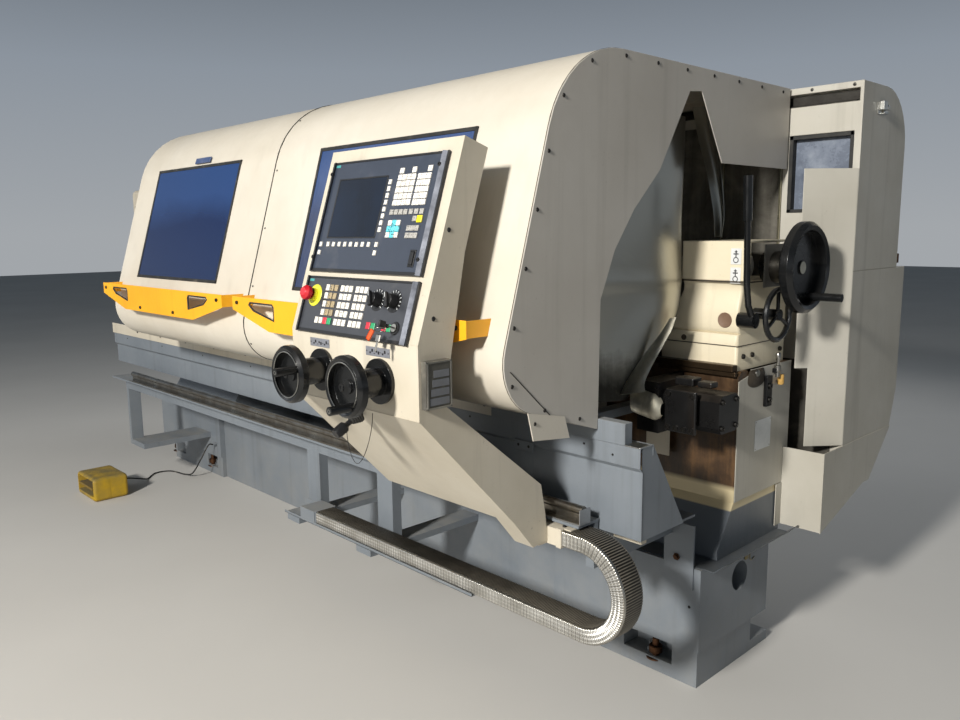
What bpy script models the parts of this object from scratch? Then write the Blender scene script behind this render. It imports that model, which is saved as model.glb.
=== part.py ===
"""CNC turning lathe with two sliding hoods, a travelling operator column and a tailstock.

Metres, +Z up. X runs along the bed to the tailstock end, Y from the operator to the back.
While it is modelled, X is zero at the tailstock end of the bed, Y at the front face of the
pedestals and Z on the floor. At the end the whole machine is centred over the origin.
"""
import math

import bmesh
import bpy
from mathutils import Matrix, Vector

# Driving dimensions
BED_LENGTH = 4.05
BED_WIDTH = 0.34
BED_FRONT = 0.19
BED_TOP = 0.985
BED_BOTTOM = 0.573
AXIS_Y = 0.36
AXIS_Z = 1.325
PEDESTAL_TOP = 0.40
PEDESTAL_DEPTH = 0.44
HOOD_TOP = 1.92
HOOD_BACK = 0.648
HOOD_SEAM = -1.39
HOOD_LEFT_WIDTH = 1.22
HOOD_RIGHT_WIDTH = 1.29
REAR_END = 0.143
COLUMN_LEFT = -0.74
COLUMN_WIDTH = 0.55
GAP = 0.0003          # clearance between pieces that seat on each other
SPIN_CLEAR = 0.001    # clearance around a round piece that turns or slides in its hole
OVERRUN = 0.05        # how far a cutter reaches past the piece that it cuts
EPS = 0.001           # overlap of shapes that are joined into one piece

part_collection = bpy.data.collections.new("cnc_turning_lathe")
cutter_collection = bpy.data.collections.new("cutters")
for old in list(bpy.data.objects):
    bpy.data.objects.remove(old, do_unlink=True)
bpy.context.scene.collection.children.link(part_collection)
bpy.context.scene.collection.children.link(cutter_collection)


# Materials

def material(name, rgb, roughness, metallic=0.0):
    mat = bpy.data.materials.new(name)
    mat.use_nodes = True
    shader = mat.node_tree.nodes["Principled BSDF"]
    shader.inputs["Base Color"].default_value = (*rgb, 1.0)
    shader.inputs["Roughness"].default_value = roughness
    shader.inputs["Metallic"].default_value = metallic
    return mat


CREAM = material("cream_paint", (0.66, 0.61, 0.50), 0.45)
GREY = material("grey_paint", (0.25, 0.28, 0.31), 0.5)
CAST = material("oiled_casting", (0.22, 0.17, 0.11), 0.5, 0.3)
STEEL = material("bright_steel", (0.55, 0.55, 0.54), 0.3, 1.0)
STAINLESS = material("stainless_sheet", (0.5, 0.5, 0.48), 0.3, 1.0)
BLACK = material("black_plastic", (0.015, 0.015, 0.017), 0.3)
PANEL = material("panel_plastic", (0.03, 0.035, 0.05), 0.4)
GLASS = material("tinted_pane", (0.02, 0.04, 0.14), 0.1)
YELLOW = material("yellow_paint", (0.80, 0.40, 0.01), 0.4)
RED = material("red_plastic", (0.55, 0.02, 0.02), 0.35)
CHAIN = material("steel_chain", (0.40, 0.38, 0.35), 0.4, 1.0)
CLEAR = material("clear_lid", (0.35, 0.36, 0.36), 0.2)
RUBBER = material("black_rubber", (0.02, 0.02, 0.02), 0.6)


# Shapes

def link(obj, mat=None, cutter=False):
    """Puts an object in its collection and gives it its material."""
    for holder in list(obj.users_collection):
        holder.objects.unlink(obj)
    (cutter_collection if cutter else part_collection).objects.link(obj)
    if cutter:
        obj.hide_render = True
        obj.display_type = "WIRE"
    if mat is not None:
        obj.data.materials.append(mat)
    return obj


def from_bmesh(name, bm, mat=None, cutter=False):
    mesh = bpy.data.meshes.new(name)
    bm.to_mesh(mesh)
    bm.free()
    return link(bpy.data.objects.new(name, mesh), mat, cutter)


def box(name, x, y, z, mat=None, cutter=False):
    """Box between three pairs of values."""
    bm = bmesh.new()
    size = Vector((x[1] - x[0], y[1] - y[0], z[1] - z[0]))
    middle = Vector((x[0] + x[1], y[0] + y[1], z[0] + z[1])) / 2
    bmesh.ops.create_cube(bm, size=1, matrix=Matrix.Translation(middle) @ Matrix.Diagonal((*size, 1)))
    return from_bmesh(name, bm, mat, cutter)


AXES = {
    "X": Matrix(((0, 0, 1, 0), (1, 0, 0, 0), (0, 1, 0, 0), (0, 0, 0, 1))),
    "Y": Matrix(((1, 0, 0, 0), (0, 0, -1, 0), (0, 1, 0, 0), (0, 0, 0, 1))),
    "Z": Matrix.Identity(4),
}


def prism(name, outlines, axis, span, mat=None, cutter=False):
    """Flat outlines, given in the two axes across the third, drawn out between two values.

    The first outline is the rim and the others are holes in it.
    """
    curve = bpy.data.curves.new(name, "CURVE")
    curve.dimensions = "2D"
    curve.fill_mode = "BOTH"
    for outline in outlines:
        spline = curve.splines.new("POLY")
        spline.points.add(len(outline) - 1)
        spline.use_cyclic_u = True
        for point, (u, v) in zip(spline.points, outline):
            point.co = (u, v, 0, 1)
    curve.extrude = abs(span[1] - span[0]) / 2
    flat = link(bpy.data.objects.new(name + "_outline", curve))
    middle = (span[0] + span[1]) / 2
    offset = {"X": (middle, 0, 0), "Y": (0, middle, 0), "Z": (0, 0, middle)}[axis]
    flat.matrix_world = Matrix.Translation(offset) @ AXES[axis]
    bpy.context.view_layer.update()
    graph = bpy.context.evaluated_depsgraph_get()
    mesh = bpy.data.meshes.new_from_object(flat.evaluated_get(graph))
    mesh.transform(flat.matrix_world)
    bpy.data.objects.remove(flat, do_unlink=True)
    bm = bmesh.new()
    bm.from_mesh(mesh)
    bmesh.ops.remove_doubles(bm, verts=bm.verts, dist=EPS / 100)
    bmesh.ops.recalc_face_normals(bm, faces=bm.faces)
    bpy.data.meshes.remove(mesh)
    return from_bmesh(name, bm, mat, cutter)


def turned(name, profile, place, direction, mat=None, cutter=False, steps=32):
    """Turned shape from (radius, height) pairs, top to bottom, stood at a place along a direction.

    A profile that ends where it begins is a closed ring.
    """
    mesh = bpy.data.meshes.new(name)
    count = len(profile) - (profile[0] == profile[-1])
    mesh.from_pydata([(r, 0, h) for r, h in profile[:count]],
                     [(i, (i + 1) % count) for i in range(len(profile) - 1)], [])
    obj = link(bpy.data.objects.new(name, mesh), mat, cutter)
    obj.location = place
    obj.rotation_euler = Vector(direction).to_track_quat("Z", "Y").to_euler()
    screw = obj.modifiers.new("turn", "SCREW")
    screw.steps = steps
    screw.render_steps = steps
    screw.use_merge_vertices = True
    screw.merge_threshold = 0.00001
    return obj


def rod(name, start, end, radius, mat=None, cutter=False, steps=24):
    """Plain round bar from one place to another."""
    start = Vector(start)
    reach = Vector(end) - start
    profile = [(0, reach.length), (radius, reach.length), (radius, 0), (0, 0)]
    return turned(name, profile, start, reach, mat, cutter, steps)


def boolean(obj, other, operation):
    modifier = obj.modifiers.new(other.name, "BOOLEAN")
    modifier.operation = operation
    modifier.solver = "EXACT"
    modifier.object = other
    return obj


def cut(obj, *others):
    for other in others:
        boolean(obj, other, "DIFFERENCE")
    return obj


def join(obj, *others):
    for other in others:
        boolean(obj, other, "UNION")
    return obj


def arc(centre, radius, start, end, count):
    """Points on an arc in a flat outline, with its angles in degrees."""
    points = []
    for i in range(count + 1):
        angle = math.radians(start + (end - start) * i / count)
        points.append((centre[0] + radius * math.cos(angle), centre[1] + radius * math.sin(angle)))
    return points


def pivot(name, place, parent=None):
    """Empty on a joint's axis, which carries the pieces that move with it."""
    empty = bpy.data.objects.new(name, None)
    part_collection.objects.link(empty)
    empty.location = place
    if parent is not None:
        attach(empty, parent)
    return empty


def attach(obj, parent):
    bpy.context.view_layer.update()
    world = obj.matrix_world.copy()
    obj.parent = parent
    obj.matrix_parent_inverse = parent.matrix_world.inverted()
    bpy.context.view_layer.update()
    obj.matrix_world = world


machine = bpy.data.objects.new("machine", None)
part_collection.objects.link(machine)

bed_left = -BED_LENGTH
bed_back = BED_FRONT + BED_WIDTH


# Pedestals: two cast boxes with a plinth, recesses for the levelling screws and lifting holes
PLINTH_HEIGHT = 0.125
PLINTH_SET_IN = 0.008
PLINTH_BACK_SET_IN = 0.09
RIGHT_PEDESTAL_LENGTH = 0.60
LEFT_PEDESTAL_LENGTH = 0.82
LEFT_PLINTH_LENGTH = 0.66
LIFT_HOLE_RADIUS = 0.05
LIFT_HOLE_PLACE = (0.245, 0.31)
LIFT_HOLE_DEPTH = 0.12
RECESS_DEPTH = 0.09
RECESS_LOW = 0.045
RECESS_HEIGHT = 0.07
RIGHT_RECESS = (-0.29, 0.19)
LEFT_RECESS_WIDTH = 0.125
LEFT_RECESS_STEP = 0.45
LEFT_RECESS_MARGIN = 0.02
SCREW_RADIUS = 0.016
SCREW_HEAD = 0.022
LUG_LENGTH = 0.12
LUG_WIDTH = 0.07
LUG_HEIGHT = 0.035

pedestal_y = (0, PEDESTAL_DEPTH)
plinth_y = (PLINTH_SET_IN, PEDESTAL_DEPTH - PLINTH_BACK_SET_IN)
right_x = (-RIGHT_PEDESTAL_LENGTH, 0)
left_x = (bed_left, bed_left + LEFT_PEDESTAL_LENGTH)
upper_z = (PLINTH_HEIGHT, PEDESTAL_TOP)
plinth_z = (0, PLINTH_HEIGHT + EPS)


def recess(name, start, width):
    """Pocket in the front of a plinth with the head of a levelling screw standing in it."""
    pocket = box(name, (start, start + width), (-OVERRUN, RECESS_DEPTH),
                 (RECESS_LOW, RECESS_LOW + RECESS_HEIGHT), cutter=True)
    middle = (start + width / 2, RECESS_DEPTH / 2)
    head_top = RECESS_LOW + RECESS_HEIGHT / 2
    shank = rod(name + "_screw", (*middle, RECESS_LOW - EPS), (*middle, head_top), SCREW_RADIUS,
                cutter=True, steps=12)
    head = turned(name + "_head", [(0, SCREW_RADIUS), (SCREW_HEAD, SCREW_RADIUS), (SCREW_HEAD, 0), (0, 0)],
                  (*middle, RECESS_LOW + EPS), (0, 0, 1), cutter=True, steps=6)
    return pocket, shank, head


def lug(name, x):
    """Foot lug at the back of a plinth."""
    back = plinth_y[1]
    return box(name, (x, x + LUG_WIDTH), (back - EPS, back + LUG_LENGTH), (0, LUG_HEIGHT), cutter=True)


pedestal_right = box("pedestal_right", right_x, pedestal_y, upper_z, GREY)
join(pedestal_right, box("plinth_right", (right_x[0], -PLINTH_SET_IN), plinth_y, plinth_z, cutter=True),
     lug("lug_right", -PLINTH_SET_IN - LUG_WIDTH))
pocket, shank, head = recess("recess_right", *RIGHT_RECESS)
cut(pedestal_right, pocket)
join(pedestal_right, shank, head)
cut(pedestal_right, rod("lift_hole", (OVERRUN, *LIFT_HOLE_PLACE), (-LIFT_HOLE_DEPTH, *LIFT_HOLE_PLACE),
                        LIFT_HOLE_RADIUS, cutter=True))

plinth_left_start = left_x[1] - LEFT_PLINTH_LENGTH
pedestal_left = box("pedestal_left", left_x, pedestal_y, upper_z, GREY)
join(pedestal_left, box("plinth_left", (plinth_left_start, left_x[1]), plinth_y, plinth_z, cutter=True),
     lug("lug_left", plinth_left_start))
for number in range(2):
    start = plinth_left_start + LEFT_RECESS_MARGIN + number * LEFT_RECESS_STEP
    pocket, shank, head = recess(f"recess_left_{number + 1}", start, LEFT_RECESS_WIDTH)
    cut(pedestal_left, pocket)
    join(pedestal_left, shank, head)


# Drip tray: folded sheet on the right pedestal, with a lip past the end of the bed
TRAY_SHEET = 0.003
TRAY_OVERHANG = 0.04
TRAY_LIP = 0.035
TRAY_BACK = 0.505
TRAY_FRONT = 0.012

tray_low = PEDESTAL_TOP + GAP
tray_top = tray_low + TRAY_SHEET
tray_left = -RIGHT_PEDESTAL_LENGTH
tray_outline = [(tray_left, tray_low), (TRAY_OVERHANG, tray_low), (TRAY_OVERHANG + TRAY_LIP, tray_low + TRAY_LIP),
                (TRAY_OVERHANG + TRAY_LIP - TRAY_SHEET, tray_low + TRAY_LIP), (TRAY_OVERHANG - TRAY_SHEET, tray_top),
                (tray_left, tray_top)]
drip_tray = prism("drip_tray", [tray_outline], "Y", (TRAY_FRONT, TRAY_BACK), GREY)


# Bed: long casting with two ways on top and a foot over each pedestal
WAY_HEIGHT = 0.015
WAY_SLOPE = 0.02
FRONT_WAY_WIDTH = 0.075
REAR_WAY_WIDTH = 0.06
FOOT_FRONT = 0.10
FOOT_BACK = 0.51
FOOT_UPRIGHT = 0.03
BED_CHANNEL_DEPTH = 0.10
COVER_SHEET = 0.003

way_top = BED_TOP + WAY_HEIGHT
bed_end = -COVER_SHEET - GAP
front_way = BED_FRONT + FRONT_WAY_WIDTH
rear_way = bed_back - REAR_WAY_WIDTH
bed_outline = [(BED_FRONT, BED_BOTTOM), (bed_back, BED_BOTTOM), (bed_back, way_top), (rear_way, way_top),
               (rear_way, BED_TOP - BED_CHANNEL_DEPTH), (front_way, BED_TOP - BED_CHANNEL_DEPTH),
               (front_way, BED_TOP), (front_way - WAY_SLOPE, way_top), (BED_FRONT + WAY_SLOPE, way_top),
               (BED_FRONT, BED_TOP)]
bed = prism("bed", [bed_outline], "X", (bed_left, bed_end), CAST)
foot_low = tray_top + GAP
foot_outline = [(FOOT_FRONT, foot_low), (FOOT_BACK, foot_low), (FOOT_BACK, BED_BOTTOM + EPS),
                (BED_FRONT + EPS, BED_BOTTOM + EPS), (FOOT_FRONT, foot_low + FOOT_UPRIGHT)]
left_foot_outline = [(y, PEDESTAL_TOP + GAP if z == foot_low else z) for y, z in foot_outline]
join(bed, prism("foot_right", [foot_outline], "X", (-RIGHT_PEDESTAL_LENGTH, bed_end), cutter=True),
     prism("foot_left", [left_foot_outline], "X", left_x, cutter=True))

# Cream cover plate screwed on the end of the bed
END_COVER_MARGIN = 0.015
end_cover_outline = [(BED_FRONT, BED_BOTTOM), (bed_back, BED_BOTTOM), (bed_back + END_COVER_MARGIN, BED_BOTTOM),
                     (bed_back + END_COVER_MARGIN, way_top), (BED_FRONT + FRONT_WAY_WIDTH, way_top),
                     (BED_FRONT + FRONT_WAY_WIDTH, BED_TOP), (BED_FRONT, BED_TOP - WAY_HEIGHT)]
bed_end_cover = prism("bed_end_cover", [end_cover_outline], "X", (-COVER_SHEET, 0), CREAM)


# Coolant and chip tank: open tray standing between the pedestals
TANK_FRONT = 0.03
TANK_BACK = 0.62
TANK_TOP = 0.36
TANK_WALL = 0.004

tank_x = (left_x[1] + GAP, -RIGHT_PEDESTAL_LENGTH - GAP)
coolant_tank = box("coolant_tank", tank_x, (TANK_FRONT, TANK_BACK), (0, TANK_TOP), GREY)
cut(coolant_tank, box("tank_inside", (tank_x[0] + TANK_WALL, tank_x[1] - TANK_WALL),
                      (TANK_FRONT + TANK_WALL, TANK_BACK - TANK_WALL), (TANK_WALL, TANK_TOP + OVERRUN),
                      cutter=True))


# Chain trough and energy chain for the operator column
CHAIN_WIDTH = 0.09
CHAIN_DEPTH = 0.050
CHAIN_FRONT = -0.50
CHAIN_LOW_Z = 0.345
CHAIN_BEND = 0.130
CHAIN_BEND_X = -0.078
CHAIN_MOVING_END = -0.140
CHAIN_FIXED_END = -1.40
TROUGH_LEFT = -1.62
TROUGH_RIGHT = -0.50
TROUGH_WALL = 0.003
TROUGH_CLEAR = 0.004
TROUGH_HEIGHT = 0.035
ANCHOR_LENGTH = 0.10

chain_y = (CHAIN_FRONT, CHAIN_FRONT + CHAIN_WIDTH)
chain_low = CHAIN_LOW_Z - CHAIN_DEPTH / 2
trough_y = (chain_y[0] - TROUGH_CLEAR - TROUGH_WALL, chain_y[1] + TROUGH_CLEAR + TROUGH_WALL)
trough_low = chain_low - GAP - TROUGH_WALL
chain_trough = box("chain_trough", (TROUGH_LEFT, TROUGH_RIGHT), trough_y, (trough_low, trough_low + TROUGH_HEIGHT),
                   GREY)
cut(chain_trough, box("trough_inside", (TROUGH_LEFT - OVERRUN, TROUGH_RIGHT + OVERRUN),
                      (trough_y[0] + TROUGH_WALL, trough_y[1] - TROUGH_WALL),
                      (trough_low + TROUGH_WALL, trough_low + TROUGH_HEIGHT + OVERRUN), cutter=True))
anchor_x = (CHAIN_FIXED_END - GAP - ANCHOR_LENGTH, CHAIN_FIXED_END - GAP)
join(chain_trough, box("chain_anchor", anchor_x, (trough_y[0] + EPS, trough_y[1] - EPS),
                       (trough_low + EPS, CHAIN_LOW_Z + CHAIN_DEPTH / 2), cutter=True))

bend_centre = (CHAIN_BEND_X, CHAIN_LOW_Z + CHAIN_BEND)
half_chain = CHAIN_DEPTH / 2
outer = arc(bend_centre, CHAIN_BEND + half_chain, -90, 90, 24)
inner = arc(bend_centre, CHAIN_BEND - half_chain, 90, -90, 24)
top_z = CHAIN_LOW_Z + 2 * CHAIN_BEND
chain_outline = ([(CHAIN_FIXED_END, CHAIN_LOW_Z - half_chain)] + outer
                 + [(CHAIN_MOVING_END, top_z + half_chain), (CHAIN_MOVING_END, top_z - half_chain)]
                 + inner + [(CHAIN_FIXED_END, CHAIN_LOW_Z + half_chain)])
energy_chain = prism("energy_chain", [chain_outline], "Y", chain_y, CHAIN)


# Front frame: beam under the guide rail, with two hangers for the chain trough and an end frame
BEAM_LEFT = -3.55
BEAM_RIGHT = -0.10
BEAM_PLATE_Y = (-0.475, -0.385)
BEAM_PLATE = 0.008
BEAM_WEB = 0.018
BEAM_LOW = 0.565
BEAM_TOP = 0.645
HANGER_WIDTH = 0.09
HANGER_PLACES = (-1.60, -1.12)
HANGER_DEPTH = 0.04
HANGER_FOOT_HEIGHT = 0.025
END_FRAME_LOW = 0.23
END_FRAME_LENGTH = 0.20
END_FRAME_SHEET = 0.03
BRACE_X = (-0.131, -0.102)
BRACE_Z = (0.500, 0.600)
BRACE_PLATE_X = (-0.131, -0.024)
BRACE_PLATE_Z = (0.33, 0.54)
BRACE_PLATE = 0.006

beam_web_y = (BEAM_PLATE_Y[1] - BEAM_WEB, BEAM_PLATE_Y[1])
hanger_y = (trough_y[1] + GAP, trough_y[1] + GAP + HANGER_DEPTH)
hanger_top = trough_low - GAP
hanger_low = hanger_top - HANGER_FOOT_HEIGHT
rail_beam = box("rail_beam", (BEAM_LEFT, BEAM_RIGHT), BEAM_PLATE_Y, (BEAM_TOP - BEAM_PLATE, BEAM_TOP), GREY)
join(rail_beam, box("beam_web", (BEAM_LEFT + EPS, BEAM_RIGHT - EPS), (beam_web_y[0], beam_web_y[1] - EPS),
                    (BEAM_LOW, BEAM_TOP - EPS), cutter=True))
for number, place in enumerate(HANGER_PLACES):
    post_x = (place, place + HANGER_WIDTH)
    inner_x = (post_x[0] + EPS, post_x[1] - EPS)
    join(rail_beam,
         box(f"hanger_{number}", post_x, hanger_y, (hanger_low, BEAM_TOP - 2 * EPS), cutter=True),
         box(f"hanger_foot_{number}", inner_x, (trough_y[0], TANK_FRONT - GAP),
             (hanger_low + EPS, hanger_top), cutter=True))
frame_x = (BEAM_LEFT, BEAM_LEFT + END_FRAME_LENGTH)
join(rail_beam,
     box("end_post", (frame_x[0] + 2 * EPS, frame_x[0] + END_FRAME_SHEET), (beam_web_y[0] + EPS, beam_web_y[1] + OVERRUN),
         (END_FRAME_LOW, BEAM_TOP - 2 * EPS), cutter=True),
     box("end_shelf", (frame_x[0] + 3 * EPS, frame_x[1]), (beam_web_y[0] + 2 * EPS, -GAP),
         (END_FRAME_LOW + EPS, END_FRAME_LOW + END_FRAME_SHEET), cutter=True),
     box("right_brace", BRACE_X, (beam_web_y[0] + EPS, -GAP - EPS), BRACE_Z, cutter=True),
     box("right_brace_plate", BRACE_PLATE_X, (-GAP - BRACE_PLATE, -GAP), BRACE_PLATE_Z, cutter=True))

# Guide rail for the operator column: round shaft on its aluminium support
SHAFT_Y = -0.45
SHAFT_RADIUS = 0.0125
SUPPORT_HEIGHT = 0.026
SUPPORT_WEB = 0.009
SUPPORT_BASE = 0.006
SUPPORT_WIDTH = 0.048
SUPPORT_MARGIN = 0.25

rail_low = BEAM_TOP + GAP
shaft_z = rail_low + SUPPORT_HEIGHT + SHAFT_RADIUS
rail_x = (BEAM_LEFT + SUPPORT_MARGIN, BEAM_RIGHT)
half_web = SUPPORT_WEB / 2
half_support = SUPPORT_WIDTH / 2
web_rise = shaft_z - SHAFT_RADIUS / 2
support_outline = [(SHAFT_Y - half_support, rail_low), (SHAFT_Y + half_support, rail_low),
                   (SHAFT_Y + half_support, rail_low + SUPPORT_BASE), (SHAFT_Y + half_web, rail_low + SUPPORT_BASE),
                   (SHAFT_Y + half_web, web_rise), (SHAFT_Y - half_web, web_rise),
                   (SHAFT_Y - half_web, rail_low + SUPPORT_BASE), (SHAFT_Y - half_support, rail_low + SUPPORT_BASE)]
guide_rail = prism("guide_rail", [support_outline], "X", rail_x, STEEL)
join(guide_rail, rod("shaft", (rail_x[0] + EPS, SHAFT_Y, shaft_z), (rail_x[1] - EPS, SHAFT_Y, shaft_z), SHAFT_RADIUS,
                     cutter=True, steps=16))


# Front cover: long folded sheet with a lip, and a deeper sheet with an end plate at the right
COVER_FACE = -0.38
COVER_LEFT = -3.70
COVER_SPLIT = -0.355
COVER_RIGHT = 0.04
COVER_TOP = 0.875
COVER_FOLD = 0.806
COVER_FOLD_DEPTH = 0.012
COVER_LOW = 0.708
COVER_RIGHT_LOW = 0.612
COVER_LIP_BACK = 0.05
COVER_RETURN = 0.03
END_PLATE_BACK = 0.21
FRONT_SHEET = 0.003
COVER_ARM_WIDTH = 0.05


def cover_outline(low):
    """Folded sheet: main face, lip band in front of it and the top turned back."""
    face = COVER_FACE
    lip = face - COVER_FOLD_DEPTH
    back = face + COVER_LIP_BACK
    sheet = FRONT_SHEET
    return [(face, low), (face, COVER_FOLD), (lip, COVER_FOLD + COVER_FOLD_DEPTH), (lip, COVER_TOP),
            (back, COVER_TOP), (back, COVER_TOP - COVER_RETURN), (back - sheet, COVER_TOP - COVER_RETURN),
            (back - sheet, COVER_TOP - sheet), (lip + sheet, COVER_TOP - sheet),
            (lip + sheet, COVER_FOLD + COVER_FOLD_DEPTH + sheet / 2), (face + sheet, COVER_FOLD), (face + sheet, low)]


front_cover = prism("front_cover", [cover_outline(COVER_LOW)], "X", (COVER_LEFT, COVER_SPLIT - GAP), GREY)
front_cover_right = prism("front_cover_right", [cover_outline(COVER_RIGHT_LOW)], "X",
                          (COVER_SPLIT, COVER_RIGHT), GREY)
end_plate = [(COVER_FACE, COVER_RIGHT_LOW), (COVER_FACE, COVER_TOP), (COVER_FACE + COVER_LIP_BACK, COVER_TOP),
             (COVER_FACE + END_PLATE_BACK, COVER_RIGHT_LOW)]
join(front_cover_right, prism("end_plate", [end_plate], "X", (COVER_RIGHT - FRONT_SHEET, COVER_RIGHT - EPS),
                              cutter=True))
# Arms that carry the covers from the bed, above the path of the saddle's apron
ARM_PLACES = (COVER_LEFT + END_FRAME_LENGTH, left_x[1])
cover_back = COVER_FACE + COVER_LIP_BACK
for number, place in enumerate(ARM_PLACES):
    join(front_cover, box(f"cover_arm_{number}", (place - COVER_ARM_WIDTH, place),
                          (cover_back - EPS, BED_FRONT - GAP),
                          (COVER_TOP - COVER_RETURN + EPS, COVER_TOP - EPS), cutter=True))
join(front_cover_right, box("cover_arm_right", (COVER_SPLIT + EPS, COVER_SPLIT + COVER_ARM_WIDTH),
                            (cover_back - EPS, BED_FRONT - GAP),
                            (COVER_TOP - COVER_RETURN + EPS, COVER_TOP - EPS), cutter=True))

# Cream strip that the lower edges of the hoods run along
HOOD_RAIL_LEFT = -3.72
HOOD_RAIL_HEIGHT = 0.058
HOOD_RAIL_FOOT = 0.03
HOOD_RAIL_SHEET = 0.004
HOOD_EDGE_Y = -0.3965
HOOD_SHEET = 0.003

hood_rail_y = HOOD_EDGE_Y + HOOD_SHEET + GAP
rail_foot = COVER_TOP + GAP
hood_rail_outline = [(hood_rail_y, rail_foot), (hood_rail_y + HOOD_RAIL_FOOT, rail_foot),
                     (hood_rail_y + HOOD_RAIL_FOOT, rail_foot + HOOD_RAIL_SHEET),
                     (hood_rail_y + HOOD_RAIL_SHEET, rail_foot + HOOD_RAIL_SHEET),
                     (hood_rail_y + HOOD_RAIL_SHEET, rail_foot + HOOD_RAIL_HEIGHT),
                     (hood_rail_y, rail_foot + HOOD_RAIL_HEIGHT)]
hood_rail = prism("hood_rail", [hood_rail_outline], "X", (HOOD_RAIL_LEFT, COVER_RIGHT - COVER_ARM_WIDTH), CREAM)


# Headstock on the left of the bed, with the spindle, chuck and three jaws
HEADSTOCK_LENGTH = 0.83
HEADSTOCK_FRONT = -0.10
HEADSTOCK_BACK = 0.62
HEADSTOCK_BELOW_TOP = 0.20
HEADSTOCK_TOP = HOOD_TOP - HEADSTOCK_BELOW_TOP
HEADSTOCK_BEVEL = 0.03
SPINDLE_RADIUS = 0.09
SPINDLE_BORE = 0.04
SPINDLE_TAIL = 0.03
SPINDLE_NOSE = 0.06
CHUCK_RADIUS = 0.16
CHUCK_DEPTH = 0.12
JAW_WIDTH = 0.04
JAW_LENGTH = 0.09
JAW_HEIGHT = 0.05
JAW_STEP = 0.03
JAW_INSET = 0.045
JAW_TONGUE = 0.012

headstock_right = bed_left + HEADSTOCK_LENGTH
headstock = box("headstock", (bed_left, headstock_right), (HEADSTOCK_FRONT, HEADSTOCK_BACK),
                (way_top + GAP, HEADSTOCK_TOP), CREAM)
bevel = headstock.modifiers.new("edges", "BEVEL")
bevel.width = HEADSTOCK_BEVEL
bevel.segments = 3
axis_left = (bed_left - SPINDLE_TAIL, AXIS_Y, AXIS_Z)
cut(headstock, rod("spindle_hole", (bed_left - OVERRUN, AXIS_Y, AXIS_Z), (headstock_right + OVERRUN, AXIS_Y, AXIS_Z),
                   SPINDLE_RADIUS + SPIN_CLEAR, cutter=True, steps=32))

spindle_length = SPINDLE_TAIL + HEADSTOCK_LENGTH + SPINDLE_NOSE
chuck_end = spindle_length + CHUCK_DEPTH
spindle_turn = pivot("spindle_turn", axis_left, machine)
spindle = turned("spindle", [(SPINDLE_BORE, chuck_end), (CHUCK_RADIUS, chuck_end), (CHUCK_RADIUS, spindle_length),
                             (SPINDLE_RADIUS, spindle_length), (SPINDLE_RADIUS, 0), (SPINDLE_BORE, 0),
                             (SPINDLE_BORE, chuck_end)],
                 axis_left, (1, 0, 0), STEEL, steps=32)
attach(spindle, spindle_turn)
chuck_face = bed_left - SPINDLE_TAIL + chuck_end
for number in range(3):
    angle = number * math.tau / 3
    turn = (Matrix.Translation((0, AXIS_Y, AXIS_Z)) @ Matrix.Rotation(angle, 4, "X")
            @ Matrix.Translation((0, -AXIS_Y, -AXIS_Z)))
    low = AXIS_Z + JAW_INSET
    jaw_face = chuck_face + GAP
    side = (AXIS_Y - JAW_WIDTH / 2, AXIS_Y + JAW_WIDTH / 2)
    jaw = box(f"jaw_{number + 1}", (jaw_face, jaw_face + JAW_HEIGHT), side, (low, low + JAW_LENGTH), STEEL)
    join(jaw, box(f"jaw_step_{number + 1}", (jaw_face + EPS, jaw_face + JAW_HEIGHT + JAW_STEP),
                  (side[0] + EPS, side[1] - EPS), (low + EPS, low + JAW_LENGTH / 2), cutter=True))
    for piece in (jaw, bpy.data.objects[f"jaw_step_{number + 1}"]):
        piece.matrix_world = turn
    carrier = pivot(f"jaw_slide_{number + 1}", turn @ Vector((chuck_face, AXIS_Y, AXIS_Z)), spindle_turn)
    attach(jaw, carrier)
    attach(bpy.data.objects[f"jaw_step_{number + 1}"], carrier)


# Rear housing: upper box with the hood's roller channel and a window, lower cabinet with a cut corner
REAR_FRONT = 0.66
REAR_BACK = 1.05
REAR_SEAM_BELOW_TOP = 0.618
REAR_SEAM = HOOD_TOP - REAR_SEAM_BELOW_TOP
REAR_CROWN = 0.19
REAR_CHANNEL_BELOW_TOP = (0.064, 0.022)
REAR_CHANNEL = tuple(HOOD_TOP - below for below in REAR_CHANNEL_BELOW_TOP)
REAR_CHANNEL_DEPTH = 0.035
REAR_CHANNEL_STOP = 0.012
CHANNEL_BAR = 0.014
WINDOW_X = (-0.10, 0.12)
WINDOW_BELOW_TOP = (0.42, 0.158)
WINDOW_Z = tuple(HOOD_TOP - below for below in WINDOW_BELOW_TOP)
WINDOW_POCKET = 0.03
PANE = 0.004
LOWER_BACK = 1.13
LOWER_CHAMFER_Z = 0.70
LOWER_CHAMFER_Y = 0.045
LOWER_KNEE = 0.906
LOWER_BOTTOM = 0.525

rear_x = (bed_left - OVERRUN, REAR_END)
crown = arc((REAR_BACK - REAR_CROWN, HOOD_TOP - REAR_CROWN), REAR_CROWN, 0, 90, 8)
rear_upper_outline = [(REAR_FRONT, REAR_SEAM), (REAR_BACK, REAR_SEAM)] + crown + [(REAR_FRONT, HOOD_TOP)]
rear_upper = prism("rear_upper", [rear_upper_outline], "X", rear_x, CREAM)
cut(rear_upper, box("roller_channel", (rear_x[0] + REAR_CHANNEL_STOP, REAR_END - REAR_CHANNEL_STOP),
                    (REAR_FRONT - OVERRUN, REAR_FRONT + REAR_CHANNEL_DEPTH), REAR_CHANNEL, cutter=True),
    box("window_pocket", WINDOW_X, (REAR_FRONT - OVERRUN, REAR_FRONT + WINDOW_POCKET), WINDOW_Z, cutter=True))
channel_middle = (REAR_CHANNEL[0] + REAR_CHANNEL[1]) / 2
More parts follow.
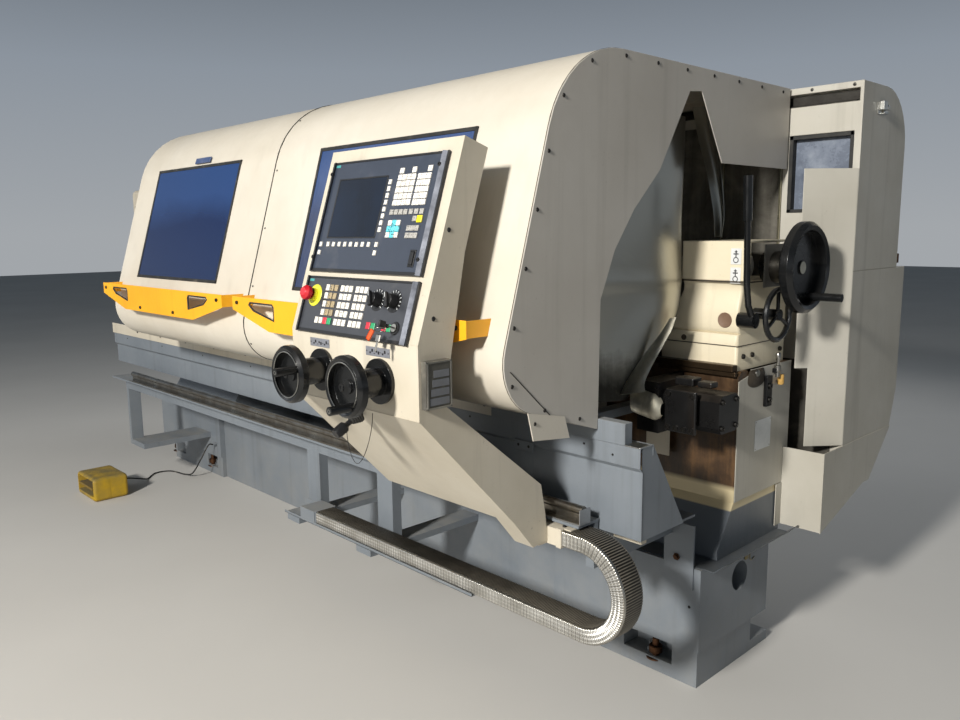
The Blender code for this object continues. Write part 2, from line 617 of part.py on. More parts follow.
rear_rail = box("rear_rail", (rear_x[0] + REAR_CHANNEL_STOP + GAP, REAR_END - REAR_CHANNEL_STOP - GAP),
                (REAR_FRONT + REAR_CHANNEL_DEPTH - GAP - CHANNEL_BAR, REAR_FRONT + REAR_CHANNEL_DEPTH - GAP),
                (channel_middle - CHANNEL_BAR, channel_middle + CHANNEL_BAR), STEEL)
rear_window = box("rear_window", (WINDOW_X[0] + GAP, WINDOW_X[1] - GAP),
                  (REAR_FRONT + WINDOW_POCKET - GAP - PANE, REAR_FRONT + WINDOW_POCKET - GAP),
                  (WINDOW_Z[0] + GAP, WINDOW_Z[1] - GAP), CLEAR)
rear_lower_outline = [(REAR_FRONT, LOWER_BOTTOM), (LOWER_KNEE, LOWER_BOTTOM),
                      (LOWER_BACK - LOWER_CHAMFER_Y, LOWER_CHAMFER_Z), (LOWER_BACK, LOWER_CHAMFER_Z + RECESS_HEIGHT * 2),
                      (LOWER_BACK, REAR_SEAM - GAP), (REAR_FRONT, REAR_SEAM - GAP)]
rear_lower = prism("rear_lower", [rear_lower_outline], "X", rear_x, CREAM)

# Slanting end panel with a notch, and the foot plate under it that steps in to the bed's foot. The panel starts
# behind the path of the tailstock's wheel and runs out to the housing's corner
PANEL_SHEET = 0.003
END_PANEL_START = (0.022, 0.522)
END_PANEL_BELOW_TOP = 0.28
END_PANEL_TOP = HOOD_TOP - END_PANEL_BELOW_TOP
END_PANEL_NOTCH = (0.046, 0.975)
FOOT_PLATE_TOP = 0.70
FOOT_PLATE_FRONT = 0.47
FOOT_PLATE_LOW = 0.42

end_x = (REAR_END + GAP, REAR_END + GAP + PANEL_SHEET)
panel_start = Vector((*END_PANEL_START, 0))
panel_end = Vector((REAR_END - GAP, REAR_FRONT - GAP, 0))
panel_along = (panel_end - panel_start).normalized()
panel_out = panel_along.cross(Vector((0, 0, 1)))
panel_plan = [panel_start, panel_end, panel_end - Vector((PANEL_SHEET / panel_out.x, 0, 0)),
              panel_start - PANEL_SHEET * panel_out]
rear_end_panel = prism("rear_end_panel", [[spot.xy for spot in panel_plan]], "Z",
                       (FOOT_PLATE_TOP + GAP, END_PANEL_TOP), CREAM)
notch_reach, notch_top = END_PANEL_NOTCH
notch_plan = [panel_start + along * panel_along + out * panel_out
              for along, out in ((-OVERRUN, OVERRUN), (notch_reach, OVERRUN),
                                 (notch_reach, -PANEL_SHEET - OVERRUN), (-OVERRUN, -PANEL_SHEET - OVERRUN))]
cut(rear_end_panel, prism("panel_notch", [[spot.xy for spot in notch_plan]], "Z",
                          (FOOT_PLATE_TOP - OVERRUN, notch_top), cutter=True))
fold_y = FOOT_BACK + GAP
rear_foot_plate = prism("rear_foot_plate",
                        [[(fold_y, FOOT_PLATE_LOW), (LOWER_KNEE - OVERRUN, LOWER_BOTTOM), (LOWER_KNEE, LOWER_BOTTOM),
                          (LOWER_BACK - LOWER_CHAMFER_Y, FOOT_PLATE_TOP), (fold_y, FOOT_PLATE_TOP)]],
                        "X", end_x, CREAM)
join(rear_foot_plate,
     box("foot_return", (2 * GAP, end_x[1] - EPS), (fold_y + EPS, fold_y + PANEL_SHEET),
         (FOOT_PLATE_LOW + 2 * EPS, FOOT_PLATE_TOP - EPS), cutter=True),
     box("foot_strip", (GAP, PANEL_SHEET), (FOOT_PLATE_FRONT, fold_y + PANEL_SHEET - EPS),
         (FOOT_PLATE_LOW + 3 * EPS, BED_BOTTOM - EPS), cutter=True))

# Stainless back wall of the turning space, screwed to the front of the rear housing
SPLASH_BELOW_TOP = 0.10
SPLASH_TOP = HOOD_TOP - SPLASH_BELOW_TOP
SPLASH_FLANGE = 0.02
splash_x = (headstock_right + GAP, WINDOW_X[0] - SPLASH_FLANGE)
splash_back = box("splash_back", splash_x, (REAR_FRONT - GAP - PANEL_SHEET, REAR_FRONT - GAP),
                  (LOWER_BOTTOM, SPLASH_TOP), STAINLESS)


# Hoods: cream shells with a lean-back front, a tinted window each and a yellow stand-off handle
HOOD_ROOF_FRONT = -0.352
HOOD_LEAN = math.radians(16.3)
HOOD_BELLY = (-0.757, 1.165)
HOOD_ROOF_RISE = 0.22
HOOD_SHOULDER_Z = HOOD_TOP - HOOD_ROOF_RISE
HOOD_ARC = 0.14
HOOD_EDGE_Z = 0.905
HOOD_EDGE_FLANGE = 0.025
HOOD_BACK_FLANGE = 0.03
WINDOW_WIDTH = 0.735
WINDOW_LOW = 1.272
WINDOW_OVER_SHOULDER = 0.0135104
WINDOW_HEIGHT = (HOOD_SHOULDER_Z + WINDOW_OVER_SHOULDER - WINDOW_LOW) / math.cos(HOOD_LEAN)
LEFT_WINDOW_MARGIN = 0.21
RIGHT_WINDOW_MARGIN = 0.29
PANE_SHEET = 0.005


def front_y(z):
    """Where the leaning outside face of a hood stands at a height."""
    return HOOD_BELLY[0] + (z - HOOD_BELLY[1]) * math.tan(HOOD_LEAN)


def hood_line(inset):
    """Outline of a hood from its back edge over the roof to its lower edge, moved in by an inset."""
    lean = math.degrees(HOOD_LEAN)
    shoulder = Vector((front_y(HOOD_SHOULDER_Z), HOOD_SHOULDER_Z))
    normal = Vector((math.cos(HOOD_LEAN), -math.sin(HOOD_LEAN)))
    # The roof arc is tangent to the leaning front and to the flat roof
    rise = HOOD_TOP - HOOD_SHOULDER_Z
    radius = rise / (1 - math.sin(HOOD_LEAN))
    centre = shoulder + normal * radius
    points = [(HOOD_BACK, HOOD_TOP - inset)]
    points += arc(centre, radius - inset, 90, 180 - lean, 8)
    belly = Vector(HOOD_BELLY)
    low_centre = belly + normal * HOOD_ARC
    points += arc(low_centre, HOOD_ARC - inset, 180 - lean, 180 + 66, 8)
    points.append((HOOD_EDGE_Y + inset * math.sin(HOOD_LEAN), HOOD_EDGE_Z + inset))
    return points


def hood(name, x):
    outer_line = hood_line(0)
    inner_line = hood_line(HOOD_SHEET)
    edge = [(HOOD_EDGE_Y + HOOD_SHEET, HOOD_EDGE_Z), (HOOD_EDGE_Y + HOOD_SHEET, HOOD_EDGE_Z + HOOD_EDGE_FLANGE),
            (HOOD_EDGE_Y, HOOD_EDGE_Z + HOOD_EDGE_FLANGE)]
    ring = outer_line + edge + list(reversed(inner_line[1:-1])) + [
        (HOOD_BACK - HOOD_SHEET, HOOD_TOP - HOOD_SHEET), (HOOD_BACK - HOOD_SHEET, HOOD_TOP - HOOD_BACK_FLANGE),
        (HOOD_BACK, HOOD_TOP - HOOD_BACK_FLANGE)]
    return prism(name, [ring], "X", x, CREAM)


def window(name, shell, start):
    """Opening in a hood's front with a pane that fills it."""
    tilt = Matrix.Rotation(-HOOD_LEAN, 4, "X")
    rise = WINDOW_HEIGHT
    place = Matrix.Translation((start, front_y(WINDOW_LOW), WINDOW_LOW)) @ tilt
    hole = box(name + "_hole", (0, WINDOW_WIDTH), (-OVERRUN, OVERRUN), (0, rise), cutter=True)
    hole.matrix_world = place
    cut(shell, hole)
    pane = box(name, (GAP, WINDOW_WIDTH - GAP), (-EPS, PANE_SHEET - EPS), (GAP, rise - GAP), GLASS)
    pane.matrix_world = place
    return pane, hole


left_hood_x = (HOOD_SEAM - HOOD_LEFT_WIDTH, HOOD_SEAM - GAP)
right_hood_x = (HOOD_SEAM, HOOD_SEAM + HOOD_RIGHT_WIDTH)
hood_left_slide = pivot("hood_left_slide", (HOOD_SEAM, HOOD_BACK, HOOD_TOP), machine)
hood_right_slide = pivot("hood_right_slide", (HOOD_SEAM, HOOD_BACK, HOOD_TOP), machine)
hood_left_shell = hood("hood_left_shell", left_hood_x)
hood_left_window, hole = window("hood_left_window", hood_left_shell, left_hood_x[0] + LEFT_WINDOW_MARGIN)
for piece in (hood_left_shell, hood_left_window, hole):
    attach(piece, hood_left_slide)
hood_right_shell = hood("hood_right_shell", (right_hood_x[0], right_hood_x[1] - HOOD_SHEET - GAP))
hood_right_window, hole = window("hood_right_window", hood_right_shell, right_hood_x[0] + RIGHT_WINDOW_MARGIN)
for piece in (hood_right_shell, hood_right_window, hole):
    attach(piece, hood_right_slide)

# End wall of the right hood, cut out to clear the tailstock and its clamp lever
CUT_FRONT = -0.395
CUT_BELOW_TOP = ((-0.390, 0.658), (-0.33, 0.526), (-0.125, 0.305), (0.02, 0.074), (0.084, 0.067), (0.213, 0.27))
CUT_ARC_LOW, CUT_ARC_TOP, CUT_SHOULDER, CUT_APEX_FRONT, CUT_APEX_BACK, CUT_STEP = (
    (y, HOOD_TOP - below) for y, below in CUT_BELOW_TOP)
cut_bottom = HOOD_EDGE_Z + HOOD_EDGE_FLANGE
mid_arc = ((CUT_ARC_TOP[0] + CUT_SHOULDER[0]) / 2 - OVERRUN / 3, (CUT_ARC_TOP[1] + CUT_SHOULDER[1]) / 2)
end_outline = hood_line(0) + [(HOOD_EDGE_Y, cut_bottom), (CUT_FRONT, cut_bottom), CUT_ARC_LOW, CUT_ARC_TOP, mid_arc,
                              CUT_SHOULDER, CUT_APEX_FRONT, CUT_APEX_BACK, CUT_STEP, (HOOD_BACK, CUT_STEP[1])]
hood_right_end = prism("hood_right_end", [end_outline], "X", (right_hood_x[1] - HOOD_SHEET, right_hood_x[1]), CREAM)
attach(hood_right_end, hood_right_slide)

# Yellow handles: bent plate with two hand holes, on returns that stand it off the hood
HANDLE_FACE = -0.822
HANDLE_SHEET = 0.003
HANDLE_TOP = 1.236
HANDLE_DEEP = 0.105
HANDLE_END = 0.045
HANDLE_TAPER = 0.24
HANDLE_MARGIN = 0.04
RIGHT_HANDLE_MARGIN = 0.068
GRIP_HOLE = (0.16, 0.052)
GRIP_HOLE_IN = 0.115
GRIP_HOLE_DROP = 0.016
GRIP_HOLE_SLANT = 0.03
GRIP_HOLE_ROUND = 0.008


def handle(name, x, right_margin):
    left, right = x[0] + HANDLE_MARGIN, x[1] - right_margin
    top = HANDLE_TOP
    face = [(left, top), (left, top - HANDLE_END), (left + HANDLE_TAPER, top - HANDLE_DEEP),
            (right - HANDLE_TAPER, top - HANDLE_DEEP), (right, top - HANDLE_END), (right, top)]
    width, height = GRIP_HOLE
    hole_top = top - GRIP_HOLE_DROP
    holes = []
    for start, sign in ((left + GRIP_HOLE_IN, 1), (right - GRIP_HOLE_IN, -1)):
        inner_end = start + sign * width
        holes.append([(start, hole_top - GRIP_HOLE_ROUND), (start + sign * GRIP_HOLE_ROUND, hole_top),
                      (inner_end - sign * GRIP_HOLE_ROUND, hole_top), (inner_end, hole_top - GRIP_HOLE_ROUND),
                      (inner_end, hole_top - height), (start + sign * GRIP_HOLE_SLANT, hole_top - height / 2)])
    bar = prism(name, [face] + holes, "Y", (HANDLE_FACE, HANDLE_FACE + HANDLE_SHEET), YELLOW)
    low = top - HANDLE_END
    for side, start in (("left", left), ("right", right - HANDLE_SHEET)):
        web = [(HANDLE_FACE + EPS, low + EPS), (front_y(low) - GAP * 2, low + EPS),
               (front_y(top) - GAP * 2, top - EPS), (HANDLE_FACE + EPS, top - EPS)]
        join(bar, prism(f"{name}_{side}", [web], "X", (start + GAP, start + HANDLE_SHEET - GAP), cutter=True))
    return bar


for name, x, slide, right_margin in (
        ("hood_left_handle", left_hood_x, hood_left_slide, HANDLE_MARGIN),
        ("hood_right_handle", right_hood_x, hood_right_slide, RIGHT_HANDLE_MARGIN)):
    bar = handle(name, x, right_margin)
    attach(bar, slide)
    for side in ("left", "right"):
        attach(bpy.data.objects[f"{name}_{side}"], slide)


# Saddle on the bed ways, with its apron and the plate that reaches under the cover to the column
SADDLE_X = (-1.08, -0.50)
SADDLE_FRONT = -0.02
SADDLE_TOP = 1.07
SADDLE_CLEAR = 0.0004
APRON_LOW = 0.72
APRON_BACK = 0.17
LINK_X = (-0.73, -0.44)
LINK_LOW = 0.678
LINK_TOP = 0.700
LINK_RISE = 0.735
LINK_REACH = -0.60
SADDLE_GUARD = 0.02

saddle_y = (SADDLE_FRONT, bed_back + SADDLE_GUARD)
saddle = box("saddle", SADDLE_X, saddle_y, (way_top + SADDLE_CLEAR, SADDLE_TOP), GREY)
join(saddle, box("apron", (SADDLE_X[0] + EPS, SADDLE_X[1] - EPS), (SADDLE_FRONT + EPS, APRON_BACK),
                 (APRON_LOW, way_top + 2 * EPS), cutter=True))
link_outline = [(APRON_BACK - EPS, LINK_LOW), (APRON_BACK - EPS, APRON_LOW + EPS), (SADDLE_FRONT + 3 * EPS, APRON_LOW + EPS),
                (SADDLE_FRONT + 3 * EPS, LINK_TOP), (COVER_FACE - SADDLE_GUARD, LINK_TOP),
                (COVER_FACE - SADDLE_GUARD, LINK_RISE), (LINK_REACH, LINK_RISE), (LINK_REACH, LINK_RISE - SADDLE_GUARD),
                (COVER_FACE - 2 * SADDLE_GUARD, LINK_RISE - SADDLE_GUARD), (COVER_FACE - 2 * SADDLE_GUARD, LINK_LOW)]
join(saddle, prism("column_link", [link_outline], "X", LINK_X, cutter=True))
saddle_slide = pivot("saddle_slide", (SADDLE_X[0], AXIS_Y, way_top), machine)
for name in ("saddle", "apron", "column_link"):
    attach(bpy.data.objects[name], saddle_slide)

# Cross slide on the saddle and the four-way tool post on it
CROSS_X = (-0.91, -0.67)
CROSS_Y = (-0.02, 0.40)
CROSS_HEIGHT = 0.075
POST_SIZE = 0.15
POST_HEIGHT = 0.13
POST_BACK = 0.08
POST_PIN = 0.025
TOOL_SLOT = 0.028
TOOL_REACH = 0.09
TOOL_SECTION = 0.024
NUT_RADIUS = 0.03
NUT_HEIGHT = 0.03

cross_low = SADDLE_TOP + SADDLE_CLEAR
cross_top = cross_low + CROSS_HEIGHT
cross_slide = box("cross_slide", CROSS_X, CROSS_Y, (cross_low, cross_top), GREY)
cross_travel = pivot("cross_travel", (CROSS_X[0], CROSS_Y[0], cross_low), saddle_slide)
attach(cross_slide, cross_travel)
post_centre = ((CROSS_X[0] + CROSS_X[1]) / 2, CROSS_Y[0] + POST_BACK + POST_SIZE / 2)
post_low = cross_top + SADDLE_CLEAR
half_post = POST_SIZE / 2
tool_post = box("tool_post", (post_centre[0] - half_post, post_centre[0] + half_post),
                (post_centre[1] - half_post, post_centre[1] + half_post), (post_low, post_low + POST_HEIGHT), STEEL)
slot_z = (post_low + POST_HEIGHT / 2 - TOOL_SLOT / 2, post_low + POST_HEIGHT / 2 + TOOL_SLOT / 2)
slots = []
for number, sign in enumerate((-1, 1)):
    edge = post_centre[1] + sign * half_post
    slots.append(box(f"tool_slot_{number}", (post_centre[0] - POST_SIZE, post_centre[0] + POST_SIZE),
                     sorted((edge - sign * TOOL_SLOT, edge + sign * OVERRUN)), slot_z, cutter=True))
cut(tool_post, *slots)
tool_y = sorted((post_centre[1] + half_post - TOOL_SLOT - EPS, post_centre[1] + half_post - EPS))
holder = box("tool_bar", (post_centre[0] - half_post - TOOL_REACH, post_centre[0] + half_post),
             tool_y, (slot_z[0] - EPS, slot_z[0] + TOOL_SECTION), cutter=True)
nut = turned("post_nut", [(0, NUT_HEIGHT), (NUT_RADIUS, NUT_HEIGHT), (NUT_RADIUS, -EPS), (0, -EPS)],
             (*post_centre, post_low + POST_HEIGHT), (0, 0, 1), cutter=True, steps=6)
join(tool_post, holder, nut)
post_turn = pivot("post_turn", (*post_centre, post_low), cross_travel)
for piece in (tool_post, holder, nut, *slots):
    attach(piece, post_turn)


# Operator column: leaning head box, with an open arm that sweeps back under the hoods
HEAD_TOP_FRONT = (-0.797, 1.672)
HEAD_TOP_BACK = (-0.7215, 1.648)
HEAD_KNEE = (-0.955, 1.187)
HEAD_CHIN = (-0.955, 1.005)
HEAD_BACK_MID = (-0.802, 1.400)
HEAD_BACK_LOW = (-0.876, 1.035)
ARM_BOTTOM = (-0.635, 0.672)
ARM_HEEL = (-0.600, 0.640)
ARM_TIP = (-0.560, 0.583)
ARM_TIP_BACK = (-0.500, 0.588)
ARM_END = (-0.510, 0.670)
ARM_TOP = (-0.528, 0.757)
ARM_SHEET = 0.012
CHEEK_WIDTH = 0.07
CONNECTOR_X = (-0.19, -0.1403)
CONNECTOR_SINK = 0.02

column_x = (COLUMN_LEFT, COLUMN_LEFT + COLUMN_WIDTH)
column_outline = [HEAD_TOP_FRONT, HEAD_KNEE, HEAD_CHIN, ARM_BOTTOM, ARM_TIP, ARM_TIP_BACK, ARM_END, ARM_TOP,
                  HEAD_BACK_LOW, HEAD_BACK_MID, HEAD_TOP_BACK]
column = prism("column", [column_outline], "X", column_x, CREAM)
# The arm is a channel: its inside is open to the back, and only its right cheek reaches the tip
inside_outline = [(HEAD_CHIN[0] + 2 * ARM_SHEET, HEAD_CHIN[1] - ARM_SHEET),
                  (ARM_BOTTOM[0] + ARM_SHEET, ARM_BOTTOM[1] + 2 * ARM_SHEET),
                  (ARM_TOP[0] + OVERRUN, ARM_BOTTOM[1] + 2 * ARM_SHEET), (ARM_TOP[0] + OVERRUN, HEAD_CHIN[1] - ARM_SHEET)]
arm_inside = prism("arm_inside", [inside_outline], "X",
                   (column_x[0] + ARM_SHEET, column_x[1] - CHEEK_WIDTH), cutter=True)
arm_below = box("arm_below", (column_x[0] - OVERRUN, column_x[1] - CHEEK_WIDTH),
                (ARM_BOTTOM[0] - OVERRUN, ARM_TOP[0] + 2 * OVERRUN), (ARM_TIP[1] - OVERRUN, ARM_BOTTOM[1]),
                cutter=True)
arm_left = box("arm_left_back", (column_x[0] - OVERRUN, column_x[1] - CHEEK_WIDTH),
               (LINK_REACH - SADDLE_CLEAR, ARM_TOP[0] + 2 * OVERRUN),
               (ARM_BOTTOM[1] - OVERRUN, LINK_RISE + GAP), cutter=True)
cut(column, arm_inside, arm_below, arm_left)
connector = box("chain_connector", (CONNECTOR_X[0] - CONNECTOR_SINK, CONNECTOR_X[1]), (chain_y[0] - GAP, chain_y[1]),
                (top_z - half_chain, top_z + half_chain), cutter=True)
bridge = box("connector_bridge", (column_x[1] - CHEEK_WIDTH + EPS, column_x[1] - EPS), (ARM_TIP[0] + OVERRUN / 2, chain_y[1] - EPS),
             (top_z - half_chain + EPS, top_z + half_chain - EPS), cutter=True)
join(column, bridge, connector)
for piece in (column, arm_inside, arm_below, arm_left, connector, bridge):
    attach(piece, saddle_slide)

# Frame of the leaning face: x along the machine, y up the slope, z out of the face
slope = Vector((0, HEAD_TOP_FRONT[0] - HEAD_KNEE[0], HEAD_TOP_FRONT[1] - HEAD_KNEE[1]))
face_length = slope.length
up = slope.normalized()
across = Vector((1, 0, 0))
out = across.cross(up)
FACE = Matrix((across, up, out)).transposed().to_4x4()
FACE.translation = Vector((column_x[0], *HEAD_KNEE))

# Operator panel and machine panel, nineteen inches wide
PANEL_WIDTH = 0.483
PANEL_SIDE = 0.033
UPPER_PANEL_HEIGHT = 0.310
LOWER_PANEL_HEIGHT = 0.155
PANEL_THICK = 0.008
PANEL_TOP_MARGIN = 0.037
PANEL_JOINT = 0.013

upper_high = face_length - PANEL_TOP_MARGIN
upper_low = upper_high - UPPER_PANEL_HEIGHT
lower_high = upper_low - PANEL_JOINT
lower_low = lower_high - LOWER_PANEL_HEIGHT


def on_face(obj, origin=(0, 0, 0)):
    """Moves a piece that was modelled about an origin on the flat face to the leaning face."""
    obj.matrix_world = FACE @ Matrix.Translation(origin) @ obj.matrix_world
    return obj


panel_x = (PANEL_SIDE, PANEL_SIDE + PANEL_WIDTH)
panel_z = (GAP, GAP + PANEL_THICK)
operator_panel = on_face(box("operator_panel", panel_x, (upper_low, upper_high), panel_z, PANEL))
machine_panel = on_face(box("machine_panel", panel_x, (lower_low, lower_high), panel_z, PANEL))
for piece in (operator_panel, machine_panel):
    attach(piece, saddle_slide)

# Emergency stop, two override knobs and the key switch on the machine panel
STOP_PLACE = (0.058, 0.101)
STOP_HEAD = 0.020
STOP_STEM = 0.0115
STOP_RISE = 0.042
STOP_SINK = 0.001
STOP_TRAVEL = 0.005
STOP_HOLE_CLEAR = 0.0004
KNOB_PLACES = ((0.338, 0.103), (0.404, 0.103))
KNOB_RADIUS = 0.018
KNOB_HEIGHT = 0.022
KNOB_GRIP = 0.006
KEY_PLACE = (0.431, 0.038)
KEY_RADIUS = 0.010
KEY_BOW = (0.014, 0.003, 0.020)
panel_top = panel_z[1] + GAP


def control(name, place, profile, mat, joint_name, steps=24):
    """Round control that stands on the machine panel, carried by an empty on its own axis."""
    origin = Vector((panel_x[0] + place[0], lower_low + place[1], panel_top))
    obj = turned(name, profile, (0, 0, 0), (0, 0, 1), mat, steps=steps)
    on_face(obj, origin)
    carrier = bpy.data.objects.new(joint_name, None)
    part_collection.objects.link(carrier)
    carrier.matrix_world = FACE @ Matrix.Translation(origin)
    attach(carrier, saddle_slide)
    attach(obj, carrier)
    return obj, carrier, origin


STOP_HOLE_DEPTH = STOP_SINK + STOP_TRAVEL + GAP * 2
emergency_stop, stop_push, stop_origin = control(
    "emergency_stop", STOP_PLACE,
    [(0, STOP_RISE), (STOP_HEAD * 0.6, STOP_RISE), (STOP_HEAD, STOP_RISE * 0.8), (STOP_HEAD, STOP_RISE * 0.55),
     (STOP_STEM, STOP_RISE * 0.5), (STOP_STEM, -STOP_SINK), (0, -STOP_SINK)], RED, "stop_push")
stop_hole = turned("stop_hole", [(0, OVERRUN), (STOP_STEM + STOP_HOLE_CLEAR, OVERRUN),
                                 (STOP_STEM + STOP_HOLE_CLEAR, -STOP_HOLE_DEPTH), (0, -STOP_HOLE_DEPTH)],
                   (0, 0, 0), (0, 0, 1), cutter=True)
on_face(stop_hole, stop_origin)
attach(stop_hole, saddle_slide)
cut(machine_panel, stop_hole)
for number, place in enumerate(KNOB_PLACES):
    knob, carrier, origin = control(
        f"override_knob_{number + 1}", place,
        [(0, KNOB_HEIGHT), (KNOB_RADIUS * 0.8, KNOB_HEIGHT), (KNOB_RADIUS, KNOB_GRIP), (KNOB_RADIUS, 0), (0, 0)],
        BLACK, f"override_turn_{number + 1}")
key_switch, key_turn, origin = control(
    "key_switch", KEY_PLACE,
    [(0, KNOB_GRIP), (KEY_RADIUS, KNOB_GRIP), (KEY_RADIUS, 0), (0, 0)], STEEL, "key_turn", steps=16)
bow = on_face(box("key_bow", (-KEY_BOW[0] / 2, KEY_BOW[0] / 2), (-KEY_BOW[1] / 2, KEY_BOW[1] / 2),
                  (KNOB_GRIP - EPS, KNOB_GRIP + KEY_BOW[2]), cutter=True), origin)
join(key_switch, bow)
attach(bow, key_turn)

# Electronic handwheels on the front of the column: fixed drum, wheel and crank grip
WHEEL_X = (0.150, 0.404)
WHEEL_Z = 1.086
FLANGE_RADIUS = 0.057
FLANGE_SHEET = 0.010
DRUM_RADIUS = 0.036
DRUM_LENGTH = 0.085
WHEEL_RADIUS = 0.076
WHEEL_RIM = 0.028
WHEEL_WEB = 0.010
WHEEL_HUB = 0.018
WHEEL_RIM_DEPTH = 0.014
CRANK_RADIUS = 0.055
CRANK_ANGLES = (20, -52)
CRANK_LENGTH = 0.085
CRANK_GRIP = 0.011

for number, (x, turn) in enumerate(zip(WHEEL_X, CRANK_ANGLES), start=1):
    base = Vector((column_x[0] + x, HEAD_CHIN[0] - GAP, WHEEL_Z))
    flange = turned(f"wheel_flange_{number}",
                    [(0, DRUM_LENGTH), (DRUM_RADIUS, DRUM_LENGTH), (DRUM_RADIUS, FLANGE_SHEET),
                     (FLANGE_RADIUS, FLANGE_SHEET), (FLANGE_RADIUS, 0), (0, 0)], base, (0, -1, 0), BLACK)
    attach(flange, saddle_slide)
    wheel_base = base + Vector((0, -DRUM_LENGTH - GAP, 0))
    carrier = pivot(f"wheel_turn_{number}", wheel_base, saddle_slide)
    inside = WHEEL_RADIUS - WHEEL_RIM_DEPTH
    wheel = turned(f"handwheel_{number}",
                   [(0, WHEEL_WEB * 1.5), (WHEEL_HUB, WHEEL_WEB * 1.5), (WHEEL_HUB, WHEEL_WEB), (inside, WHEEL_WEB),
                    (inside, WHEEL_RIM), (WHEEL_RADIUS - WHEEL_RIM_DEPTH / 2, WHEEL_RIM * 1.1),
                    (WHEEL_RADIUS, WHEEL_RIM * 0.8), (WHEEL_RADIUS, WHEEL_RIM * 0.2),
                    (WHEEL_RADIUS - WHEEL_RIM_DEPTH / 2, 0), (0, 0)], wheel_base, (0, -1, 0), BLACK)
    angle = math.radians(turn)
    foot = wheel_base + Vector((CRANK_RADIUS * math.cos(angle), -WHEEL_WEB / 2, CRANK_RADIUS * math.sin(angle)))
    grip = rod(f"crank_grip_{number}", foot, foot + Vector((0, -CRANK_LENGTH, 0)), CRANK_GRIP, cutter=True, steps=12)
    join(wheel, grip)
    attach(wheel, carrier)
    attach(grip, carrier)

# Joystick for the feeds under the handwheels: it tilts about the ball at its foot
STICK_X = 0.300
STICK_DROP = 0.016
STICK_BALL = 0.014
STICK_NECK = 0.007
STICK_KNOB = 0.015
STICK_LENGTH = 0.080
STICK_LIFT = 15
sweep = Vector((0, ARM_BOTTOM[0] - HEAD_CHIN[0], ARM_BOTTOM[1] - HEAD_CHIN[1])).normalized()
sweep_out = sweep.cross(across)
stick_base = (Vector((column_x[0] + STICK_X, *HEAD_CHIN)) + sweep * STICK_DROP + sweep_out * (STICK_BALL + GAP))
stick_out = Matrix.Rotation(math.radians(-STICK_LIFT), 3, "X") @ sweep_out
stick_tilt = pivot("stick_tilt", stick_base, saddle_slide)
ball = [(r, h) for r, h in arc((0, 0), STICK_BALL, 60, -90, 8)]
joystick = turned("joystick",
                  [(0, STICK_LENGTH), (STICK_KNOB * 0.8, STICK_LENGTH), (STICK_KNOB, STICK_LENGTH * 0.85),
                   (STICK_KNOB, STICK_LENGTH * 0.6), (STICK_NECK, STICK_LENGTH * 0.5)] + ball[:-1] + [(0, -STICK_BALL)],
                  stick_base, stick_out, RUBBER)
attach(joystick, stick_tilt)

# Socket box with a hinged clear lid on the right side of the column
CARD_Y = (-0.948, -0.872)
CARD_Z = (1.035, 1.150)
CARD_DEPTH = 0.018
CARD_WALL = 0.003
LID_SHEET = 0.004
card_x = (column_x[1] + GAP, column_x[1] + GAP + CARD_DEPTH)
card_box = box("card_box", card_x, CARD_Y, CARD_Z, BLACK)
card_inside = box("card_inside", (card_x[0] + CARD_WALL, card_x[1] + OVERRUN), (CARD_Y[0] + CARD_WALL, CARD_Y[1] - CARD_WALL),
                  (CARD_Z[0] + CARD_WALL, CARD_Z[1] - CARD_WALL), cutter=True)
cut(card_box, card_inside)
for piece in (card_box, card_inside):
    attach(piece, saddle_slide)
lid_x = (card_x[1] + GAP, card_x[1] + GAP + LID_SHEET)
lid_turn = pivot("lid_turn", (lid_x[0], CARD_Y[0], CARD_Z[1]), saddle_slide)
card_lid = box("card_lid", lid_x, CARD_Y, CARD_Z, CLEAR)
attach(card_lid, lid_turn)


# Tailstock: casting on the ways with its top cover, quill, two wheels and the clamp lever
TAIL_X = (-0.30, -0.016)
TAIL_Y = (0.20, 0.52)
TAIL_SPLIT = 1.08
TAIL_WAIST = 1.20
TAIL_COVER_LOW = 1.285
TAIL_TOP = 1.41
TAIL_WAIST_SET_IN = 0.012
BARREL_RADIUS = 0.055
COVER_X = (-0.225, 0.015)
COVER_WALL = 0.006
QUILL_RADIUS = 0.040
QUILL_NOSE = -0.36
QUILL_POINT = 0.05
QUILL_TRAVEL = 0.12

tail_slide = pivot("tail_slide", (TAIL_X[1], AXIS_Y, way_top), machine)
tail_low = way_top + SADDLE_CLEAR
waist = TAIL_Y[0] + TAIL_WAIST_SET_IN
tail_outline = [(TAIL_Y[0], tail_low), (TAIL_Y[1], tail_low), (TAIL_Y[1], TAIL_TOP - COVER_WALL - GAP),
                (TAIL_Y[0] + COVER_WALL + GAP, TAIL_TOP - COVER_WALL - GAP), (TAIL_Y[0] + COVER_WALL + GAP, TAIL_COVER_LOW),
                (waist, TAIL_COVER_LOW - TAIL_WAIST_SET_IN), (waist, TAIL_WAIST), (TAIL_Y[0], TAIL_WAIST - 2 * TAIL_WAIST_SET_IN)]
tail_body = prism("tailstock_body", [tail_outline], "X", TAIL_X, CREAM)
quill_hole = rod("quill_hole", (TAIL_X[0] - OVERRUN, AXIS_Y, AXIS_Z), (TAIL_X[1] - COVER_WALL, AXIS_Y, AXIS_Z),
                 QUILL_RADIUS + SPIN_CLEAR, cutter=True, steps=32)
cut(tail_body, quill_hole)
SCREW_HOLE = 0.014
screw_hole = rod("screw_hole", (TAIL_X[1] - OVERRUN, AXIS_Y, AXIS_Z), (TAIL_X[1] + OVERRUN, AXIS_Y, AXIS_Z),
                 SCREW_HOLE + SPIN_CLEAR, cutter=True, steps=32)
cut(tail_body, screw_hole)
